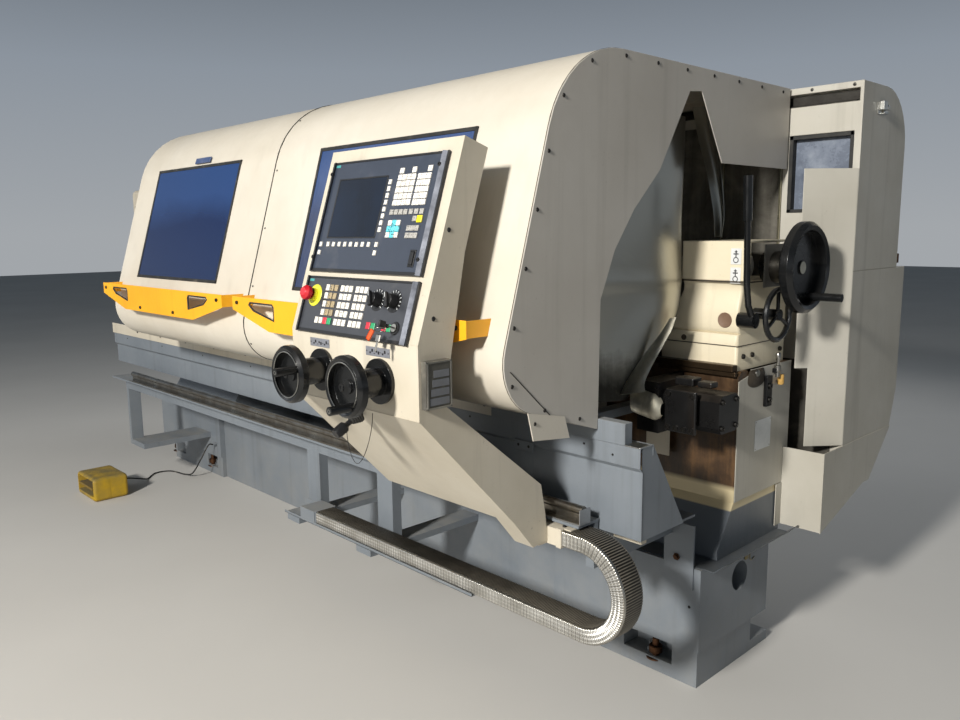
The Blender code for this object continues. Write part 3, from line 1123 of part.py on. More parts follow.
cover_outline_2 = [(TAIL_Y[0], TAIL_COVER_LOW + GAP), (TAIL_Y[0], TAIL_TOP), (TAIL_Y[1], TAIL_TOP),
                   (TAIL_Y[1], TAIL_TOP - COVER_WALL), (TAIL_Y[0] + COVER_WALL, TAIL_TOP - COVER_WALL),
                   (TAIL_Y[0] + COVER_WALL, TAIL_COVER_LOW + GAP)]
tail_cover = prism("tailstock_cover", [cover_outline_2], "X", COVER_X, CREAM)
for piece in (tail_body, quill_hole, screw_hole, tail_cover):
    attach(piece, tail_slide)
quill_back = TAIL_X[1] - COVER_WALL - QUILL_TRAVEL / 4 - OVERRUN / 2
quill_slide = pivot("quill_slide", (quill_back, AXIS_Y, AXIS_Z), tail_slide)
quill_length = quill_back - QUILL_NOSE
quill = turned("quill", [(0, quill_length), (QUILL_RADIUS * 0.3, quill_length - QUILL_POINT / 3),
                         (QUILL_RADIUS * 0.6, quill_length - QUILL_POINT), (QUILL_RADIUS, quill_length - QUILL_POINT),
                         (QUILL_RADIUS, 0), (0, 0)], (quill_back, AXIS_Y, AXIS_Z), (-1, 0, 0), STEEL)
attach(quill, quill_slide)

# Large dished handwheel on the quill screw
BIG_RADIUS = 0.143
BIG_RIM = 0.045
BIG_RIM_DEPTH = 0.026
BIG_WEB = 0.012
BIG_HUB = 0.022
COLLAR_RADIUS = 0.048
COLLAR_LENGTH = 0.088
BIG_CRANK = 0.107
BIG_CRANK_ANGLE = -61
BIG_CRANK_LENGTH = 0.115
BIG_CRANK_GRIP = 0.013
WHEEL_GAP = 0.020
tail_end = TAIL_X[1] + GAP
big_turn = pivot("big_wheel_turn", (tail_end, AXIS_Y, AXIS_Z), tail_slide)
dish = COLLAR_LENGTH + WHEEL_GAP
big_inside = BIG_RADIUS - BIG_RIM_DEPTH
big_wheel = turned("tailstock_wheel",
                   [(0, dish + BIG_WEB * 1.4), (BIG_HUB, dish + BIG_WEB * 1.4), (BIG_HUB, dish + BIG_WEB),
                    (big_inside, dish + BIG_WEB), (big_inside, dish + BIG_RIM * 0.9),
                    (BIG_RADIUS - BIG_RIM_DEPTH / 2, dish + BIG_RIM), (BIG_RADIUS, dish + BIG_RIM * 0.7),
                    (BIG_RADIUS, dish + BIG_RIM * 0.2), (BIG_RADIUS - BIG_RIM_DEPTH / 2, dish),
                    (COLLAR_RADIUS, dish), (COLLAR_RADIUS, 0), (SCREW_HOLE, 0), (SCREW_HOLE, -COVER_WALL * 2), (0, -COVER_WALL * 2)],
                   (tail_end, AXIS_Y, AXIS_Z), (1, 0, 0), BLACK, steps=40)
angle = math.radians(BIG_CRANK_ANGLE)
crank_foot = Vector((tail_end + dish + BIG_WEB / 2, AXIS_Y + BIG_CRANK * math.cos(angle), AXIS_Z + BIG_CRANK * math.sin(angle)))
big_grip = rod("tailstock_wheel_grip", crank_foot, crank_foot + Vector((BIG_CRANK_LENGTH, 0, 0)), BIG_CRANK_GRIP,
               cutter=True, steps=16)
join(big_wheel, big_grip)
attach(big_wheel, big_turn)
attach(big_grip, big_turn)

# Small spoked wheel that moves the tailstock along the bed
SMALL_PLACE = (0.300, 1.178)
SMALL_RADIUS = 0.088
SMALL_RIM = 0.009
SMALL_REACH = 0.078
SMALL_HUB = 0.018
SPOKE = 0.006
small_turn = pivot("small_wheel_turn", (tail_end, *SMALL_PLACE), tail_slide)
rim_circle = [(SMALL_RADIUS - SMALL_RIM + SMALL_RIM * math.cos(a * math.tau / 8),
               SMALL_REACH + SMALL_RIM * math.sin(a * math.tau / 8)) for a in range(8, 0, -1)]
rim_circle.append(rim_circle[0])
small_wheel = turned("traverse_wheel", rim_circle, (tail_end, *SMALL_PLACE), (1, 0, 0), BLACK, steps=32)
small_hub = rod("traverse_hub", (tail_end, *SMALL_PLACE), (tail_end + SMALL_REACH + SMALL_RIM, *SMALL_PLACE), SMALL_HUB,
                cutter=True, steps=16)
spokes = []
for number in range(3):
    angle = math.radians(90 + number * 120)
    reach = SMALL_RADIUS - SMALL_RIM
    tip = Vector((tail_end + SMALL_REACH, SMALL_PLACE[0] + reach * math.cos(angle), SMALL_PLACE[1] + reach * math.sin(angle)))
    spokes.append(rod(f"traverse_spoke_{number}", (tail_end + SMALL_REACH, *SMALL_PLACE), tip, SPOKE, cutter=True, steps=10))
join(small_wheel, small_hub, *spokes)
for piece in (small_wheel, small_hub, *spokes):
    attach(piece, small_turn)

# Clamp lever: bent bar on a block at the front of the tailstock's end
LEVER_PIVOT = (0.205, 1.165)
LEVER_BLOCK = 0.024
LEVER_BAR = 0.010
LEVER_GRIP = 0.014
LEVER_OFFSET = 0.045
LEVER_POINTS = (LEVER_PIVOT, (0.172, 1.215), (0.158, 1.28), (0.148, 1.47))
LEVER_TOP = (0.140, 1.603)
lever_turn = pivot("lever_turn", (tail_end, *LEVER_PIVOT), tail_slide)
lever = rod("clamp_lever", (tail_end, *LEVER_PIVOT), (tail_end + LEVER_OFFSET + LEVER_BAR, *LEVER_PIVOT), LEVER_BLOCK,
            BLACK, steps=16)
lever_pieces = [lever]
path = [Vector((tail_end + LEVER_OFFSET, *point)) for point in LEVER_POINTS]
for number, (start, end) in enumerate(zip(path[:-1], path[1:])):
    reach = (end - start).normalized() * LEVER_BAR * 0.5
    bar = rod(f"lever_bar_{number}", start - reach * (number > 0), end + reach, LEVER_BAR, cutter=True, steps=12)
    lever_pieces.append(bar)
lever_pieces.append(rod("lever_grip", path[-1], (tail_end + LEVER_OFFSET, *LEVER_TOP), LEVER_GRIP, cutter=True, steps=12))
join(lever, *lever_pieces[1:])
for piece in lever_pieces:
    attach(piece, lever_turn)


# Feed motor on its flange at the front of the bed
MOTOR_AXIS = (0.045, 0.900)
MOTOR_SIZE = 0.116
MOTOR_X = (-0.15, 0.05)
MOTOR_CORNER = 0.018
MOTOR_FLANGE = 0.160
MOTOR_FLANGE_X = (-0.20, -0.145)
MOTOR_PLATE_X = (-0.225, -0.1997)

half_motor = MOTOR_SIZE / 2
c = MOTOR_CORNER
motor_outline = [(MOTOR_AXIS[0] + sy * (half_motor - a), MOTOR_AXIS[1] + sz * (half_motor - b))
                 for sy, sz, a, b in ((1, 1, 0, c), (1, 1, c, 0), (-1, 1, c, 0), (-1, 1, 0, c),
                                      (-1, -1, 0, c), (-1, -1, c, 0), (1, -1, c, 0), (1, -1, 0, c))]
servo_motor = prism("servo_motor", [motor_outline], "X", MOTOR_X, BLACK)
half_flange = MOTOR_FLANGE / 2
join(servo_motor,
     box("motor_flange", MOTOR_FLANGE_X, (MOTOR_AXIS[0] - half_flange, MOTOR_AXIS[0] + half_flange),
         (MOTOR_AXIS[1] - half_flange, MOTOR_AXIS[1] + half_flange), cutter=True),
     box("motor_plate", MOTOR_PLATE_X, (MOTOR_AXIS[0] - half_flange + EPS, BED_FRONT - GAP),
         (MOTOR_AXIS[1] - half_flange + EPS, MOTOR_AXIS[1] + half_flange - EPS), cutter=True))

# Tall bright splash sheet in front of the tailstock: it is bent back to a foot on the bed and curves into the hood
GUARD_SHEET = 0.003
GUARD_POINTS = ((-0.235, 0.1885), (-0.205, 0.165), (-0.215, 0.08), (-0.24, -0.02), (-0.285, -0.12),
                (-0.35, -0.21), (-0.43, -0.28))
GUARD_BELOW_TOP = 0.12
GUARD_Z = (0.99, HOOD_TOP - GUARD_BELOW_TOP)
GUARD_FOOT = (0.06, 0.08)


def sheet_back(points, sheet):
    """The far side of a bent sheet, one thickness to the right of its line."""
    line = [Vector(point) for point in points]
    steps = [(after - before).normalized() for before, after in zip(line[:-1], line[1:])]
    back = []
    for point, before, after in zip(line, steps[:1] + steps, steps + steps[-1:]):
        along = (before + after).normalized()
        back.append(point + sheet * Vector((along.y, -along.x)))
    return back


guard_outline = [Vector(point) for point in GUARD_POINTS] + sheet_back(GUARD_POINTS, GUARD_SHEET)[::-1]
splash_guard = prism("splash_guard", [guard_outline], "Z", GUARD_Z, STAINLESS)
guard_x = GUARD_POINTS[0][0]
join(splash_guard, box("guard_foot", (guard_x - GUARD_FOOT[0], guard_x + GUARD_SHEET),
                       (BED_FRONT - GAP - GUARD_SHEET, BED_FRONT - GAP),
                       (GUARD_Z[0] - GUARD_FOOT[1], GUARD_Z[0] + GUARD_SHEET), cutter=True))


# Foot switch: yellow guard over a sprung pedal, with its cable to the left pedestal
SWITCH_PLACE = (-3.42, -0.62)
SWITCH_LENGTH = 0.26
SWITCH_WIDTH = 0.19
SWITCH_HEIGHT = 0.13
SWITCH_BASE = 0.03
SWITCH_WALL = 0.012
SWITCH_BEVEL = 0.02
PEDAL_LENGTH = 0.15
PEDAL_WIDTH = 0.10
PEDAL_THICK = 0.014
PEDAL_HEIGHT = 0.062
PEDAL_SIDE = 0.016

switch_x = (SWITCH_PLACE[0] - SWITCH_LENGTH / 2, SWITCH_PLACE[0] + SWITCH_LENGTH / 2)
switch_y = (SWITCH_PLACE[1] - SWITCH_WIDTH / 2, SWITCH_PLACE[1] + SWITCH_WIDTH / 2)
foot_switch = box("foot_switch", switch_x, switch_y, (0, SWITCH_HEIGHT), YELLOW)
bevel = foot_switch.modifiers.new("edges", "BEVEL")
bevel.width = SWITCH_BEVEL
bevel.segments = 3
bevel.limit_method = "ANGLE"
switch_mouth = box("switch_mouth", (switch_x[0] + SWITCH_WALL, switch_x[1] - SWITCH_WALL),
                   (switch_y[0] - OVERRUN, switch_y[1] - SWITCH_WALL * 2), (SWITCH_BASE, SWITCH_HEIGHT - SWITCH_WALL),
                   cutter=True)
cut(foot_switch, switch_mouth)
pedal_hinge = (SWITCH_PLACE[0], switch_y[1] - SWITCH_WALL * 2 - PEDAL_THICK, PEDAL_HEIGHT)
pedal_turn = pivot("pedal_turn", pedal_hinge, machine)
half_pedal = SWITCH_LENGTH / 2 - SWITCH_WALL - PEDAL_SIDE
foot_pedal = box("foot_pedal", (SWITCH_PLACE[0] - half_pedal, SWITCH_PLACE[0] + half_pedal),
                 (pedal_hinge[1] - PEDAL_LENGTH, pedal_hinge[1]), (PEDAL_HEIGHT, PEDAL_HEIGHT + PEDAL_THICK), BLACK)
axle_reach = SWITCH_LENGTH / 2 - SWITCH_WALL - GAP
pedal_axle = rod("pedal_axle", (SWITCH_PLACE[0] - axle_reach, *pedal_hinge[1:]), (SWITCH_PLACE[0] + axle_reach, *pedal_hinge[1:]),
                 PEDAL_THICK * 0.6, cutter=True, steps=12)
join(foot_pedal, pedal_axle)
attach(foot_pedal, pedal_turn)
attach(pedal_axle, pedal_turn)

# Cable of the foot switch, from a gland at its back to a gland on the left pedestal
CORD_RADIUS = 0.004
GLAND_RADIUS = 0.010
GLAND_LENGTH = 0.022
CORD_POINTS = 66
CORD_TOUCH = 0.0008
switch_gland_z = 0.060
pedestal_gland = (-3.28, 0.200)
switch_gland = rod("switch_gland", (SWITCH_PLACE[0], switch_y[1] - EPS, switch_gland_z),
                   (SWITCH_PLACE[0], switch_y[1] + GLAND_LENGTH, switch_gland_z), GLAND_RADIUS, cutter=True, steps=12)
join(foot_switch, switch_gland)
cable_gland = rod("cable_gland", (pedestal_gland[0], EPS, pedestal_gland[1]),
                  (pedestal_gland[0], -GLAND_LENGTH, pedestal_gland[1]), GLAND_RADIUS, cutter=True, steps=12)
join(pedestal_left, cable_gland)
cord_start = Vector((SWITCH_PLACE[0], switch_y[1] + GLAND_LENGTH + CORD_TOUCH, switch_gland_z))
cord_end = Vector((pedestal_gland[0], -GLAND_LENGTH - CORD_TOUCH, pedestal_gland[1]))
CORD_LEAD = Vector((0, 0.03, 0))
CORD_REST = CORD_RADIUS + GAP
CORD_ROUTE = (cord_start, cord_start + CORD_LEAD, Vector((-3.45, -0.40, 0.035)), Vector((-3.52, -0.33, CORD_REST)),
              Vector((-3.60, -0.25, CORD_REST)), Vector((-3.58, -0.17, CORD_REST)),
              Vector((-3.46, -0.14, CORD_REST)), Vector((-3.35, -0.13, 0.03)), Vector((-3.29, -0.10, 0.12)),
              cord_end - CORD_LEAD, cord_end)


def smooth_route(route, count):
    """Evenly numbered points on a smooth curve through the places of a route."""
    padded = [2 * route[0] - route[1]] + list(route) + [2 * route[-1] - route[-2]]
    spans = len(route) - 1
    points = []
    for i in range(count):
        t = i * spans / (count - 1)
        n = min(int(t), spans - 1)
        u = t - n
        a, b, c2, d = padded[n:n + 4]
        place = 0.5 * ((2 * b) + (c2 - a) * u + (2 * a - 5 * b + 4 * c2 - d) * u ** 2
                       + (3 * b - a - 3 * c2 + d) * u ** 3)
        place.z = max(place.z, CORD_REST)
        points.append(place)
    return points


curve = bpy.data.curves.new("foot_cord", "CURVE")
curve.dimensions = "3D"
curve.bevel_depth = CORD_RADIUS
curve.bevel_resolution = 2
curve.use_fill_caps = True
spline = curve.splines.new("POLY")
cord_points = smooth_route(CORD_ROUTE, CORD_POINTS)
spline.points.add(len(cord_points) - 1)
for point, place in zip(spline.points, cord_points):
    point.co = (*place, 1)
foot_cord = link(bpy.data.objects.new("foot_cord", curve), RUBBER)

# Everything that stands still hangs on the machine's empty
for obj in list(part_collection.objects) + list(cutter_collection.objects):
    if obj.parent is None and obj is not machine:
        attach(obj, machine)

# The origin is put under the middle of the machine
bpy.context.view_layer.update()
graph = bpy.context.evaluated_depsgraph_get()
low = Vector((math.inf, math.inf, math.inf))
high = -low
for obj in part_collection.objects:
    if obj.type == "EMPTY" or obj is foot_cord:
        continue
    evaluated = obj.evaluated_get(graph)
    mesh = evaluated.to_mesh()
    for vertex in mesh.vertices:
        place = obj.matrix_world @ vertex.co
        low = Vector(map(min, low, place))
        high = Vector(map(max, high, place))
    evaluated.to_mesh_clear()
machine.location = (-(low.x + high.x) / 2, -(low.y + high.y) / 2, 0)
for obj in part_collection.objects:
    if obj.type == "MESH" and any(m.type == "SCREW" for m in obj.modifiers):
        obj.data.shade_smooth()
bpy.context.view_layer.update()
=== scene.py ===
import math

import bpy
from mathutils import Matrix, Vector


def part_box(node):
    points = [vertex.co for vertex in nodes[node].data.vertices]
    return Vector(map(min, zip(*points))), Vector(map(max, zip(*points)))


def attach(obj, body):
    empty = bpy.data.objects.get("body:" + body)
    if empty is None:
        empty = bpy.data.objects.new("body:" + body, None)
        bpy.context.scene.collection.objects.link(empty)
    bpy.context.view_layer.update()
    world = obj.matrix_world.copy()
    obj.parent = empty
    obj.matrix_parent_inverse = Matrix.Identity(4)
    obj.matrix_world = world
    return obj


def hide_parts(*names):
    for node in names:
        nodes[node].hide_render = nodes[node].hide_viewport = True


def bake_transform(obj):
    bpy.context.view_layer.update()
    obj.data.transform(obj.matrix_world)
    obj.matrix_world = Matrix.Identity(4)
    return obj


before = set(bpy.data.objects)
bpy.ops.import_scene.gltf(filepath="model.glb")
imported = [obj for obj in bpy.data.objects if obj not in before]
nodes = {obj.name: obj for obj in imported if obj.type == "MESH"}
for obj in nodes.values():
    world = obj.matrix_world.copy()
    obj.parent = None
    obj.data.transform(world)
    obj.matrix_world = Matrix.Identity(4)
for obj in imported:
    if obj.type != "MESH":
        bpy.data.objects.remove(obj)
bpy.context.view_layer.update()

# Every length along the machine is counted from the right end of its bed, Y from the middle line of the frame and
# Z from the floor.
bed_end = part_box("bed_end_cover")[1].x


def at(x, y, z):
    """A place on the machine, counted from the right end of its bed."""
    return Vector((bed_end + x, y, z))


# Camera: stands at eye height off the tailstock end, where the photograph was taken, with a lens of about 31 mm.
# The three rows are the picture's right, down and forward directions.
EYE = at(1.262, -2.143, 1.45)
RIGHT = (0.69194459, 0.72188091, -0.01003184)
DOWN = (0.10641678, -0.11572767, -0.98756396)
FORWARD = (-0.71406453, 0.68227198, -0.15689738)
bpy.ops.object.camera_add()
camera = bpy.context.object
camera.name = "camera"
camera.data.lens = 30.59
turn = Matrix((RIGHT, [-part for part in DOWN], [-part for part in FORWARD])).transposed()
camera.matrix_world = Matrix.Translation(EYE) @ turn.to_4x4()
camera.data.clip_end = 200
bpy.context.scene.camera = camera


# Foot switch cord: black rubber flex, 8 mm thick, from the foot switch over the floor to the left pedestal.
# It lies in one loose bow beside the machine and rises to the pedestal's gland.
def linear(code):
    """Blender's linear colour for an sRGB hex value."""
    parts = [int(code[i:i + 2], 16) / 255 for i in (1, 3, 5)]
    return tuple(((part + 0.055) / 1.055) ** 2.4 if part > 0.04045 else part / 12.92 for part in parts) + (1,)


def add_node(tree, kind, inputs=None, stops=None, **settings):
    """Adds a shader node with settings and colour stops; an input takes a value, a socket or a node's first one."""
    made = tree.nodes.new("ShaderNode" + kind)
    for name, value in settings.items():
        setattr(made, name, value)
    for name, value in (inputs or {}).items():
        if isinstance(value, bpy.types.Node):
            value = value.outputs[0]
        if isinstance(value, bpy.types.NodeSocket):
            tree.links.new(value, made.inputs[name])
        else:
            made.inputs[name].default_value = value
    for number, (place, colour) in enumerate(stops or ()):
        ramp = made.color_ramp.elements
        stop = ramp[number] if number < 2 else ramp.new(place)
        stop.position = place
        stop.color = linear(colour) if isinstance(colour, str) else (colour, colour, colour, 1)
    return made


def new_finish(name):
    """An empty material with its output; gives the node tree and the place on the object."""
    finish = bpy.data.materials.new(name)
    finish.use_nodes = True
    finish.node_tree.nodes.clear()
    place = add_node(finish.node_tree, "TexCoord").outputs["Object"]
    return finish, finish.node_tree, place


def close_finish(tree, sockets):
    """Ends a material in one principled shader."""
    shader = add_node(tree, "BsdfPrincipled", sockets)
    add_node(tree, "OutputMaterial", {"Surface": shader})


def black_rubber(name):
    """Moulded neoprene: dull black with pale floor dust rubbed into its fine grain."""
    finish, tree, place = new_finish(name)
    grain = add_node(tree, "TexNoise", {"Vector": place, "Scale": 700, "Detail": 3})
    dust = add_node(tree, "TexNoise", {"Vector": place, "Scale": 22, "Detail": 5})
    colour = add_node(tree, "ValToRGB", {"Fac": dust}, [(0.35, "#191918"), (0.62, "#2b2a27"), (0.8, "#6c665b")])
    bump = add_node(tree, "Bump", {"Height": grain, "Strength": 0.35, "Distance": 0.0004})
    close_finish(tree, {"Base Color": colour, "Roughness": 0.68, "Normal": bump})
    return finish


def on_course(course, share):
    """A place on a smooth line through the given places, by share of its spans."""
    ends = [2 * course[0] - course[1]] + course + [2 * course[-1] - course[-2]]
    along = min(max(share, 0), 1) * (len(course) - 1)
    span = min(int(along), len(course) - 2)
    part = along - span
    a, b, c, d = ends[span:span + 4]
    return 0.5 * (2 * b + (c - a) * part + (2 * a - 5 * b + 4 * c - d) * part ** 2
                  + (3 * b - a - 3 * c + d) * part ** 3)


def wire(name, spots, radius, roundness, finish, ring=False):
    """A round wire along a row of places, as a curve; a ring is closed, and an open one has flat ends."""
    line = bpy.data.curves.new(name, "CURVE")
    line.dimensions = "3D"
    line.bevel_depth = radius
    line.bevel_resolution = roundness
    line.use_fill_caps = not ring
    spline = line.splines.new("POLY")
    spline.points.add(len(spots) - 1)
    spline.use_cyclic_u = ring
    for point, spot in zip(spline.points, spots):
        point.co = (*spot, 1)
    line.materials.append(finish)
    piece = bpy.data.objects.new(name, line)
    bpy.context.collection.objects.link(piece)
    return piece


rubber = black_rubber("black_neoprene_rubber")
CORD_THICK = 0.008
CORD_LOW = 0.0043
CORD_STEPS = 66
CORD_SHIFT = at(0, 0.0003, 0)
cord_course = [Vector(spot) for spot in (
    (-3.42, -0.5022, 0.06), (-3.42, -0.4722, 0.06), (-3.45, -0.40, 0.035), (-3.52, -0.33, CORD_LOW),
    (-3.60, -0.25, CORD_LOW), (-3.58, -0.17, CORD_LOW), (-3.46, -0.14, CORD_LOW), (-3.35, -0.13, 0.03),
    (-3.29, -0.10, 0.12), (-3.28, -0.0528, 0.2), (-3.28, -0.0228, 0.2))]
cord_points = [on_course(cord_course, step / (CORD_STEPS - 1)) for step in range(CORD_STEPS)]
cord_points = [Vector((spot.x, spot.y, max(spot.z, CORD_LOW))) + CORD_SHIFT for spot in cord_points]
flex = wire("foot_switch_flex", cord_points, CORD_THICK / 2, 4, rubber)
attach(flex, "machine")
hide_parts("foot_cord")

# Floor and light: a plain pale floor, a soft lamp at the front right and two weak ones from the left and the back,
# under a sky that is pale at the horizon and darker above. A lamp's row gives its place, the point that it shines
# at, its disk's width in metres, its watts and its colour.
bpy.ops.object.select_all(action="DESELECT")
bpy.ops.mesh.primitive_plane_add(size=60, location=(0, 0, 0))
floor = bpy.context.object
floor.name = "floor"
concrete, tree, place = new_finish("pale_plain_floor")
cloud = add_node(tree, "TexNoise", {"Vector": place, "Scale": 0.7, "Detail": 4})
tone = add_node(tree, "ValToRGB", {"Fac": cloud}, [(0.3, "#c4c1bb"), (0.7, "#cbc8c2")])
close_finish(tree, {"Base Color": tone, "Roughness": 0.85})
floor.data.materials.append(concrete)
SKY_STRENGTH = 0.6
LAMPS = (("key_lamp", (2.65, -6.65, 4.0), (0.5, 0, 0.9), 0.8, 730, (1.0, 0.975, 0.93)),
         ("fill_lamp", (-3.4, -4.2, 3.4), (-0.6, 0, 0.9), 3.0, 30, (0.95, 0.97, 1.0)),
         ("back_lamp", (0.5, 5.0, 4.5), (0, 0, 1.2), 3.5, 90, (0.95, 0.97, 1.0)))
for name, spot, aim, size, power, tint in LAMPS:
    lamp = bpy.data.lights.new(name, "AREA")
    lamp.shape = "DISK"
    lamp.size = size
    lamp.energy = power
    lamp.color = tint
    holder = bpy.data.objects.new(name, lamp)
    bpy.context.collection.objects.link(holder)
    holder.location = spot
    holder.rotation_euler = (Vector(aim) - Vector(spot)).to_track_quat("-Z", "Y").to_euler()
sky = bpy.data.worlds.new("pale_sky")
sky.use_nodes = True
height = add_node(sky.node_tree, "SeparateXYZ", {
    "Vector": add_node(sky.node_tree, "TexCoord").outputs["Generated"]}).outputs["Z"]
haze = add_node(sky.node_tree, "ValToRGB", {"Fac": height}, [(0.0, "#ccd1d6"), (0.18, "#b0bac6"), (0.40, "#525d68")])
backdrop = sky.node_tree.nodes["Background"]
sky.node_tree.links.new(haze.outputs["Color"], backdrop.inputs["Color"])
backdrop.inputs["Strength"].default_value = SKY_STRENGTH
bpy.context.scene.world = sky
bpy.context.scene.view_settings.view_transform = "Standard"


# Painted sheet and castings: two-pack machine enamel, sprayed, cream above and blue-grey below. Years of use have
# left cloudy fading, run-down grime, settled dust and small chips; folded edges are slightly rounded.
def enamel(name, coat, faded, grime="#5d564a", dust="#b3aa9a", run=0.35, dusty=0.35, speck=0.3, rough=0.36,
           splash=0.0):
    """Sprayed enamel: even coat with orange peel, cloudy fading, grime runs, settled dust and dark specks."""
    finish, tree, place = new_finish(name)
    cloud = add_node(tree, "TexNoise", {"Vector": place, "Scale": 1.6, "Detail": 5, "Roughness": 0.62})
    fading = add_node(tree, "MapRange", {"Value": cloud, "From Min": 0.36, "From Max": 0.68})
    colour = add_node(tree, "MixRGB", {"Fac": fading, "Color1": linear(coat), "Color2": linear(faded)})
    stretched = add_node(tree, "Mapping", {"Vector": place, "Scale": (17, 17, 0.8)})
    runs = add_node(tree, "TexNoise", {"Vector": stretched, "Scale": 1, "Detail": 6, "Roughness": 0.6})
    runs = add_node(tree, "MapRange", {"Value": runs, "From Min": 0.55, "From Max": 0.8, "To Max": run})
    rise = add_node(tree, "SeparateXYZ", {"Vector": add_node(tree, "NewGeometry").outputs["Normal"]}).outputs["Z"]
    upright = add_node(tree, "Math", {0: rise}, operation="ABSOLUTE")
    upright = add_node(tree, "MapRange", {"Value": upright, "From Min": 0.75, "From Max": 0.2})
    run_mask = add_node(tree, "Math", {0: runs, 1: upright}, operation="MULTIPLY")
    colour = add_node(tree, "MixRGB", {"Fac": run_mask, "Color1": colour, "Color2": linear(grime)})
    fine = add_node(tree, "TexNoise", {"Vector": place, "Scale": 95, "Detail": 4, "Roughness": 0.7})
    fine = add_node(tree, "MapRange", {"Value": fine, "From Min": 0.62, "From Max": 0.72, "To Max": speck})
    wide = add_node(tree, "TexNoise", {"Vector": place, "Scale": 7, "Detail": 4, "Roughness": 0.7})
    patches = add_node(tree, "MapRange", {"Value": wide, "From Min": 0.45, "From Max": 0.65})
    speck_mask = add_node(tree, "Math", {0: fine, 1: patches}, operation="MULTIPLY")
    colour = add_node(tree, "MixRGB", {"Fac": speck_mask, "Color1": colour, "Color2": linear(grime)})
    if splash:
        low = add_node(tree, "SeparateXYZ", {"Vector": place}).outputs["Z"]
        low = add_node(tree, "MapRange", {"Value": low, "From Min": 0.55, "From Max": 0.0, "To Max": splash})
        wet = add_node(tree, "MapRange", {"Value": wide, "From Min": 0.35, "From Max": 0.7})
        wet = add_node(tree, "Math", {0: low, 1: wet}, operation="MULTIPLY")
        colour = add_node(tree, "MixRGB", {"Fac": wet, "Color1": colour, "Color2": linear(dust)})
    level_face = add_node(tree, "MapRange", {"Value": rise, "From Min": 0.25, "From Max": 0.95, "To Max": dusty})
    settled = add_node(tree, "MapRange", {"Value": wide, "From Min": 0.3, "From Max": 0.6})
    up_mask = add_node(tree, "Math", {0: level_face, 1: settled}, operation="MULTIPLY")
    colour = add_node(tree, "MixRGB", {"Fac": up_mask, "Color1": colour, "Color2": linear(dust)})
    gloss = add_node(tree, "MapRange", {"Value": wide, "From Min": 0.3, "From Max": 0.75, "To Max": 0.22})
    gloss = add_node(tree, "Math", {0: gloss, 1: rough}, operation="ADD")
    gloss = add_node(tree, "Math", {0: up_mask, 1: 0.4, 2: gloss}, operation="MULTIPLY_ADD")
    peel = add_node(tree, "TexNoise", {"Vector": place, "Scale": 260, "Detail": 2})
    bump = add_node(tree, "Bump", {"Height": peel, "Strength": 0.12, "Distance": 0.001})
    close_finish(tree, {"Base Color": colour, "Roughness": gloss, "IOR": 1.5, "Normal": bump})
    return finish


smooth_group = bpy.data.node_groups.new("shade_smooth", "GeometryNodeTree")
smooth_group.interface.new_socket("Geometry", in_out="INPUT", socket_type="NodeSocketGeometry")
smooth_group.interface.new_socket("Geometry", in_out="OUTPUT", socket_type="NodeSocketGeometry")
entry = smooth_group.nodes.new("NodeGroupInput")
shade = smooth_group.nodes.new("GeometryNodeSetShadeSmooth")
result = smooth_group.nodes.new("NodeGroupOutput")
smooth_group.links.new(entry.outputs["Geometry"], shade.inputs["Geometry"])
smooth_group.links.new(shade.outputs["Geometry"], result.inputs["Geometry"])


def paint(names, finish, edge=0.0012, sharpest=35):
    """Gives CAD nodes their finish, and rounds their edges with modifiers that leave the meshes as they are."""
    for name in names:
        piece = nodes[name]
        piece.data.materials.clear()
        piece.data.materials.append(finish)
        if not edge:
            continue
        weld = piece.modifiers.new("weld", "WELD")
        weld.merge_threshold = 2e-5
        flat = piece.modifiers.new("flat_faces", "DECIMATE")
        flat.decimate_type = "DISSOLVE"
        flat.angle_limit = math.radians(0.4)
        even = piece.modifiers.new("smooth", "NODES")
        even.node_group = smooth_group
        rounding = piece.modifiers.new("rounded_edges", "BEVEL")
        rounding.width = edge
        rounding.segments = 2
        rounding.angle_limit = math.radians(sharpest)
        rounding.harden_normals = False
        lay = piece.modifiers.new("weighted_normals", "WEIGHTED_NORMAL")
        lay.weight = 80


cream = enamel("cream_enamel_on_sheet_steel", "#d0c9bb", "#c4bbaa", run=0.14, dusty=0.25, speck=0.16)
paint(("hood_left_shell", "hood_right_shell"), cream, edge=0.0009, sharpest=25)
# The right hood's end wall gets a greyer copy of the hood's cream: painted shade, as that end face is turned away from
# the light.
paint(("hood_right_end",), enamel("shade_greyed_cream_enamel", "#bcb7ae", "#b0aaa0", run=0.2, dusty=0.25, speck=0.3),
      edge=0.0009, sharpest=25)
worn_cream = enamel("worn_cream_enamel", "#c9c1b0", "#b9af9b", run=0.35, dusty=0.45, speck=0.5)
paint(("column",), worn_cream, edge=0.012, sharpest=28)
paint(("card_box", "card_lid", "headstock", "hood_rail"), worn_cream, edge=0.003, sharpest=28)
ivory = enamel("ivory_enamel_on_casting", "#e2d7bd", "#d6c9aa", grime="#6b5c44", run=0.25, dusty=0.4, speck=0.4)
paint(("tailstock_cover",), ivory, edge=0.004, sharpest=28)
nodes["tailstock_body"].data.materials.append(ivory)
paint(("rear_upper", "rear_lower", "rear_end_panel", "rear_foot_plate", "bed_end_cover"),
      enamel("rear_cream_enamel", "#bfbbb0", "#b0ab9e", run=0.3, dusty=0.5, speck=0.35), edge=0.002, sharpest=28)
blue_grey = enamel("blue_grey_enamel", "#787e84", "#697077", grime="#3e3d3a", dust="#95928a", run=0.35,
                   dusty=0.45, speck=0.4, splash=0.35)
paint(("pedestal_right", "pedestal_left", "coolant_tank", "rail_beam", "front_cover", "front_cover_right",
       "chain_trough"), blue_grey, edge=0.0015, sharpest=28)
